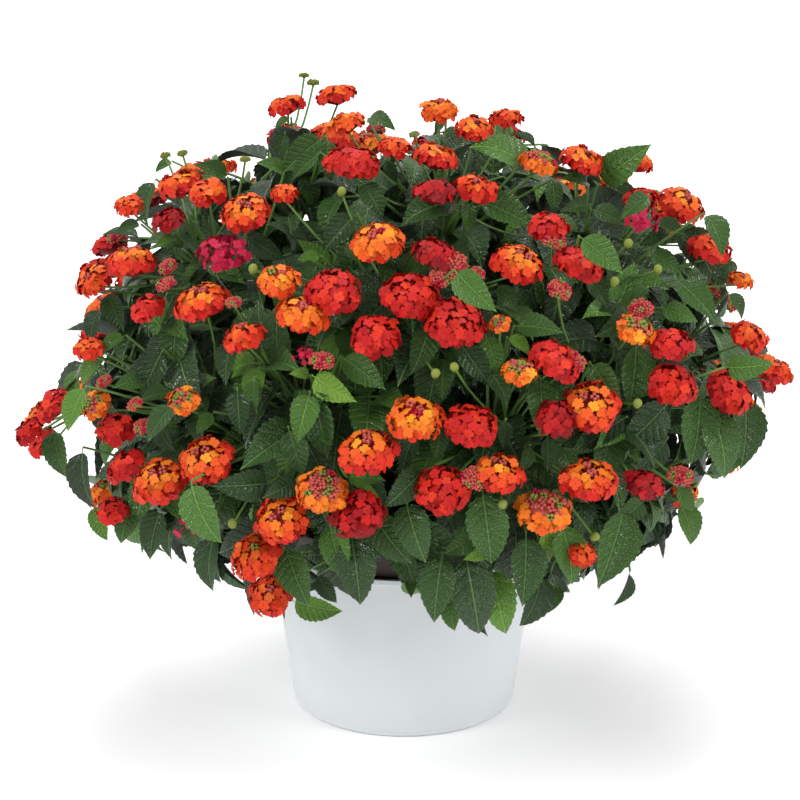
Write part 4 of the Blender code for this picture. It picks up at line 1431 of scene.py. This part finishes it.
def make_outer_pot(material):
    """The white pot: a plain taper with a small foot line and a rolled lip."""
    slope = (POT_RIM_R - POT_FOOT_R) / POT_HEIGHT

    def radius(z):
        return POT_FOOT_R + slope * z

    inside = POT_RIM_R - POT_WALL
    profile = [
        (0, POT_FLOOR - 0.0003),
        (radius(POT_FLOOR) - POT_WALL - 0.003, POT_FLOOR - 0.0003),
        (radius(POT_FLOOR) - POT_WALL, POT_FLOOR + 0.003),
        (inside, POT_HEIGHT - 0.003),
        (inside + 0.0004, POT_HEIGHT),
        (POT_RIM_R + POT_LIP, POT_HEIGHT),
        (POT_RIM_R + POT_LIP, POT_HEIGHT - 0.0045),
        (radius(POT_HEIGHT - 0.006), POT_HEIGHT - 0.006),
        (radius(0.0046), 0.0046),
        (radius(0.0040) - 0.0007, 0.0040),
        (radius(0.0033), 0.0034),
        (POT_FOOT_R - 0.0006, 0.0006),
        (POT_FOOT_R - 0.0025, 0),
        (0, 0),
    ]
    add_pot("outer_pot_shell", profile, POT_CORNER, material, "outer_pot")


def make_grower_pot(material):
    """The brown inner pot, with a stepped collar that shows above the white lip."""
    collar_foot = INNER_RIM_Z - INNER_COLLAR_DEPTH
    slope = (INNER_RIM_R - INNER_COLLAR_STEP - INNER_FOOT_R) / (collar_foot - INNER_FOOT_Z)

    def radius(z):
        return INNER_FOOT_R + slope * (z - INNER_FOOT_Z)

    floor = INNER_FOOT_Z + INNER_WALL
    profile = [
        (0, floor),
        (radius(floor) - INNER_WALL, floor),
        (radius(collar_foot) - INNER_WALL, collar_foot),
        (INNER_RIM_R - INNER_WALL, collar_foot + 0.003),
        (INNER_RIM_R - INNER_WALL, INNER_RIM_Z),
        (INNER_RIM_R, INNER_RIM_Z),
        (INNER_RIM_R, INNER_RIM_Z - 0.004),
        (INNER_RIM_R - INNER_BAND, INNER_RIM_Z - 0.005),
        (INNER_RIM_R - INNER_BAND, collar_foot + 0.002),
        (radius(collar_foot), collar_foot),
        (INNER_FOOT_R, INNER_FOOT_Z),
        (0, INNER_FOOT_Z),
    ]
    add_pot("grower_pot_shell", profile, INNER_CORNER, material, "grower_pot")


def make_potting_mix(tree, material):
    """The lumpy top of the mix, strewn with crumbs, down to the floor of the inner pot."""
    collar_foot = INNER_RIM_Z - INNER_COLLAR_DEPTH
    edge = INNER_RIM_R - INNER_WALL - 0.0007
    foot_z = INNER_FOOT_Z + INNER_WALL + 0.0003
    crown = [
        (edge * k / MIX_RINGS, MIX_TOP_Z + MIX_CROWN * (1 - (k / MIX_RINGS) ** 2))
        for k in range(MIX_RINGS + 1)
    ]
    profile = crown + [
        (edge, collar_foot + 0.004),
        (INNER_RIM_R - INNER_COLLAR_STEP - INNER_WALL - MIX_GAP, collar_foot - 0.001),
        (INNER_FOOT_R - INNER_WALL - MIX_GAP, foot_z),
        (0, foot_z),
    ]
    mound = lathe("mound", profile, MIX_SIDES)
    rng = random.Random(MIX_SEED)
    for spot in mound.vertices:
        if spot.co.z > MIX_TOP_Z - 0.001 and math.hypot(spot.co.x, spot.co.y) < edge * 0.98:
            spot.co.z += rng.uniform(*MIX_LUMPS)
    crumbs = shape_collection("crumb", [crumb_shape(seed) for seed in range(4)])
    settings = {"Crumbs": crumbs, "Density": 42000.0, "Seed": 3, "Finish": material}
    mesh = grown("potting_mix_mound", mound, tree, settings)
    drop_collection(crumbs)
    add_piece("potting_mix_mound", mesh, "potting_mix", keep=())


def make_old_wood(tree, material):
    """Trunk, limbs and forks, drawn as stems and then skinned over as one piece of wood."""
    foot, top = Vector((0, 0, TRUNK_FOOT_Z)), Vector((0, 0, TRUNK_TOP_Z))
    trunk = bend(foot, Vector((0.001, 0, 0.14)), top, 3)
    stems = [Stem(trunk, (TRUNK_R * 0.9, TRUNK_R), STEM_CELL)]
    for limb in range(SIDE_LIMBS + 1):
        end = fork_point(limb)
        out = Vector((end.x, end.y, 0)).normalized()
        foot = Vector((0, 0, TRUNK_TOP_Z - LIMB_SINK))
        if limb:
            foot_z = TRUNK_TOP_Z - LIMB_SINK - LIMB_STEP * (limb % 3)
            foot = out * TRUNK_R * 0.3 + Vector((0, 0, foot_z))
        lean = Vector((end.x * 0.45, end.y * 0.45, end.z * 0.97))
        stems.append(Stem(bend(foot, lean, end, 4), (LIMB_R * 1.15, LIMB_R * 0.85), STEM_CELL))
    knuckle = bmesh.new()
    bmesh.ops.create_icosphere(knuckle, subdivisions=2, radius=FORK_R * 0.92)
    knuckles = shape_collection("knuckle", [closed_mesh(knuckle, "knuckle")])
    turn = Matrix.Identity(3).to_quaternion()
    spots = [Spot(fork_point(limb), turn, 1.0, 0, 0) for limb in range(SIDE_LIMBS + 1)]
    settings = {
        "Shapes": knuckles, "Stem sides": 12, "Smoothness": 4,
        "Stem finish": material, "Shape finish": material,
    }
    mesh = grown("old_wood", plan_mesh("old_wood_plan", stems, spots), tree, settings)
    drop_collection(knuckles)
    thing = linked("old_wood_skin", mesh)
    skin = thing.modifiers.new("Skin", "REMESH")
    skin.mode = "VOXEL"
    skin.voxel_size = BARK_VOXEL
    skin.use_smooth_shade = True
    soften = thing.modifiers.new("Soften", "SMOOTH")
    soften.iterations = 3
    skinned = plain_mesh(thing)
    skinned.materials.clear()
    skinned.materials.append(material)
    add_piece("old_wood", skinned, "woody_stem", keep=())


def head_meshes(tree, material):
    """Every kind of head in every size, and a berry, in the order that head_form counts them."""
    meshes = []
    for number, (middle, rim, buds, missing) in enumerate(HEAD_KINDS.values()):
        # Painted shade: the heart shows in the gaps between florets, so it takes a petal tint two
        # steps darker than the rim florets.
        heart = max(rim - 2, 0)
        if MANY < buds < 1:
            heart = BUD_CELL
        elif middle > PETAL_TINTS - 1:
            heart = middle
        for step, (radius, florets) in enumerate(HEAD_SIZES.values()):
            tube = radius * TUBE_SHARE
            shapes = [floret_shape(4, tube, 0.0003), floret_shape(5, tube, 0.0006), bud_shape(tube)]
            shapes = shape_collection("floret", shapes)
            settings = {
                "Florets": int(florets * (BUD_CROWD if buds > MANY else 1.0)),
                "Radius": radius * HEAD_WIDTH, "Height": radius * HEAD_RISE,
                "Spread": HEAD_SPREAD,
                "Middle tint": float(middle), "Rim tint": float(rim), "Bud share": buds,
                "Missing share": missing, "Seed": 10 * number + step,
                "Floret shapes": shapes, "Finish": material,
            }
            core_r = radius * (LOOSE_CORE if missing > MANY else 1.0)
            levels = [(r * core_r, z * core_r) for r, z in CORE_LEVELS]
            core = solid_of_rings("core", levels, 10, core_r, heart)
            meshes.append(grown(f"head_{number}_{step}", core, tree, settings))
            drop_collection(shapes)
    return meshes + [solid_of_rings("berry", BERRY_LEVELS, 8, 2.0, GREEN_CELL)]


def make_plant(tree, head_tree, leaf, petal, stem):
    axes = branch_axes()
    front, buds = (
        [(sight_point(x, y), r * PIXEL, kind) for x, y, r, kind in listed]
        for listed in (FRONT_HEADS, FRONT_BUDS)
    )
    sprays = share_heads(axes, front + back_heads(front) + buds)
    shoots = [[] for _ in axes]
    for end in shoot_ends():
        shoots[nearest_axis(end, axes)].append(end)
    leaves = [leaf_shape(*facts, seed) for seed, facts in enumerate(LEAF_SHAPES)]
    leaves = shape_collection("leaf_shape", leaves)
    blooms = shape_collection("bloom_shape", head_meshes(head_tree, petal))

    def grow_piece(name, stems, spots, shapes, sides, finish, node, slot):
        settings = {
            "Shapes": shapes, "Stem sides": sides, "Smoothness": 2,
            "Stem finish": stem, "Shape finish": finish,
        }
        mesh = grown(name, plan_mesh(f"{name}_plan", stems, spots), tree, settings)
        add_piece(name, mesh, node)

    for i, (axis, (own_stems, spots)) in enumerate(zip(axes, front_leaves(axes))):
        number = f"{i + 1:02d}"
        rng = random.Random(BRANCH_SEED + i)
        stems = [Stem(axis, BRANCH_R, STEM_CELL)] + own_stems
        for end in shoots[i]:
            shoot, own = leafy_shoot(axis, end, rng)
            stems.append(shoot)
            spots += own
        grow_piece(
            f"leafy_branch_{number}", stems, spots, leaves, 6, leaf,
            f"branch_{number}", "leaf_green",
        )
        colour = ("flower_orange", "flower_red", "flower_scarlet")[i % 3]
        grow_piece(
            f"bloom_{number}", *spray_plan(axis, sprays[i], rng), blooms, 5, petal,
            f"flower_spray_{number}", colour,
        )
    drop_collection(leaves)
    drop_collection(blooms)


# Camera, light and floor


def make_stage():
    scene = bpy.context.scene
    camera = linked("camera", bpy.data.cameras.new("camera"))
    camera.location = VIEWPOINT
    camera.rotation_euler = (math.pi / 2 - VIEW_PITCH, 0, 0)
    camera.data.sensor_width = SENSOR
    camera.data.lens = VIEW_FOCAL / PICTURE * SENSOR
    scene.camera = camera
    scene.view_settings.view_transform = "Standard"

    world = bpy.data.worlds.new("soft_white")
    world.use_nodes = True
    sky = world.node_tree.nodes["Background"].inputs
    sky["Strength"].default_value = WORLD_LIGHT
    sky["Color"].default_value = (1.0, 1.0, 1.0, 1)
    scene.world = world

    for name, place_at, strength in SOFT_LIGHTS:
        light = bpy.data.lights.new(name, "SUN")
        light.angle = LIGHT_SPREAD
        light.energy = strength
        lamp = linked(name, light)
        lamp.location = place_at
        lamp.rotation_euler = (-Vector(place_at)).to_track_quat("-Z", "Y").to_euler()

    bm = bmesh.new()
    bmesh.ops.create_grid(bm, x_segments=1, y_segments=1, size=FLOOR_HALF)
    mesh = bpy.data.meshes.new("floor")
    bm.to_mesh(mesh)
    bm.free()
    material, _ = new_material(
        "pale_floor", Base_Color=(0.94, 0.94, 0.94, 1), Roughness=0.9, Specular_IOR_Level=0.1
    )
    mesh.materials.append(material)
    floor = linked("floor", mesh)


def make_everything():
    make_stage()
    grain, pattern = grain_group(), pattern_group()
    growing, head_tree = growing_tree(), flower_head_tree()
    stem = stem_material(pattern)
    white = plastic_material(
        "white_moulded_plastic", grain, (0.61, 0.645, 0.66), (0.54, 0.575, 0.59), 0.42
    )
    brown = plastic_material(
        "brown_moulded_plastic", grain, (0.030, 0.012, 0.011), (0.065, 0.035, 0.030), 0.5
    )
    make_outer_pot(white)
    make_grower_pot(brown)
    make_potting_mix(crumb_tree(), mix_material(grain))
    make_old_wood(growing, bark_material(grain))
    make_plant(growing, head_tree, leaf_material(pattern), petal_material(pattern), stem)


make_everything()
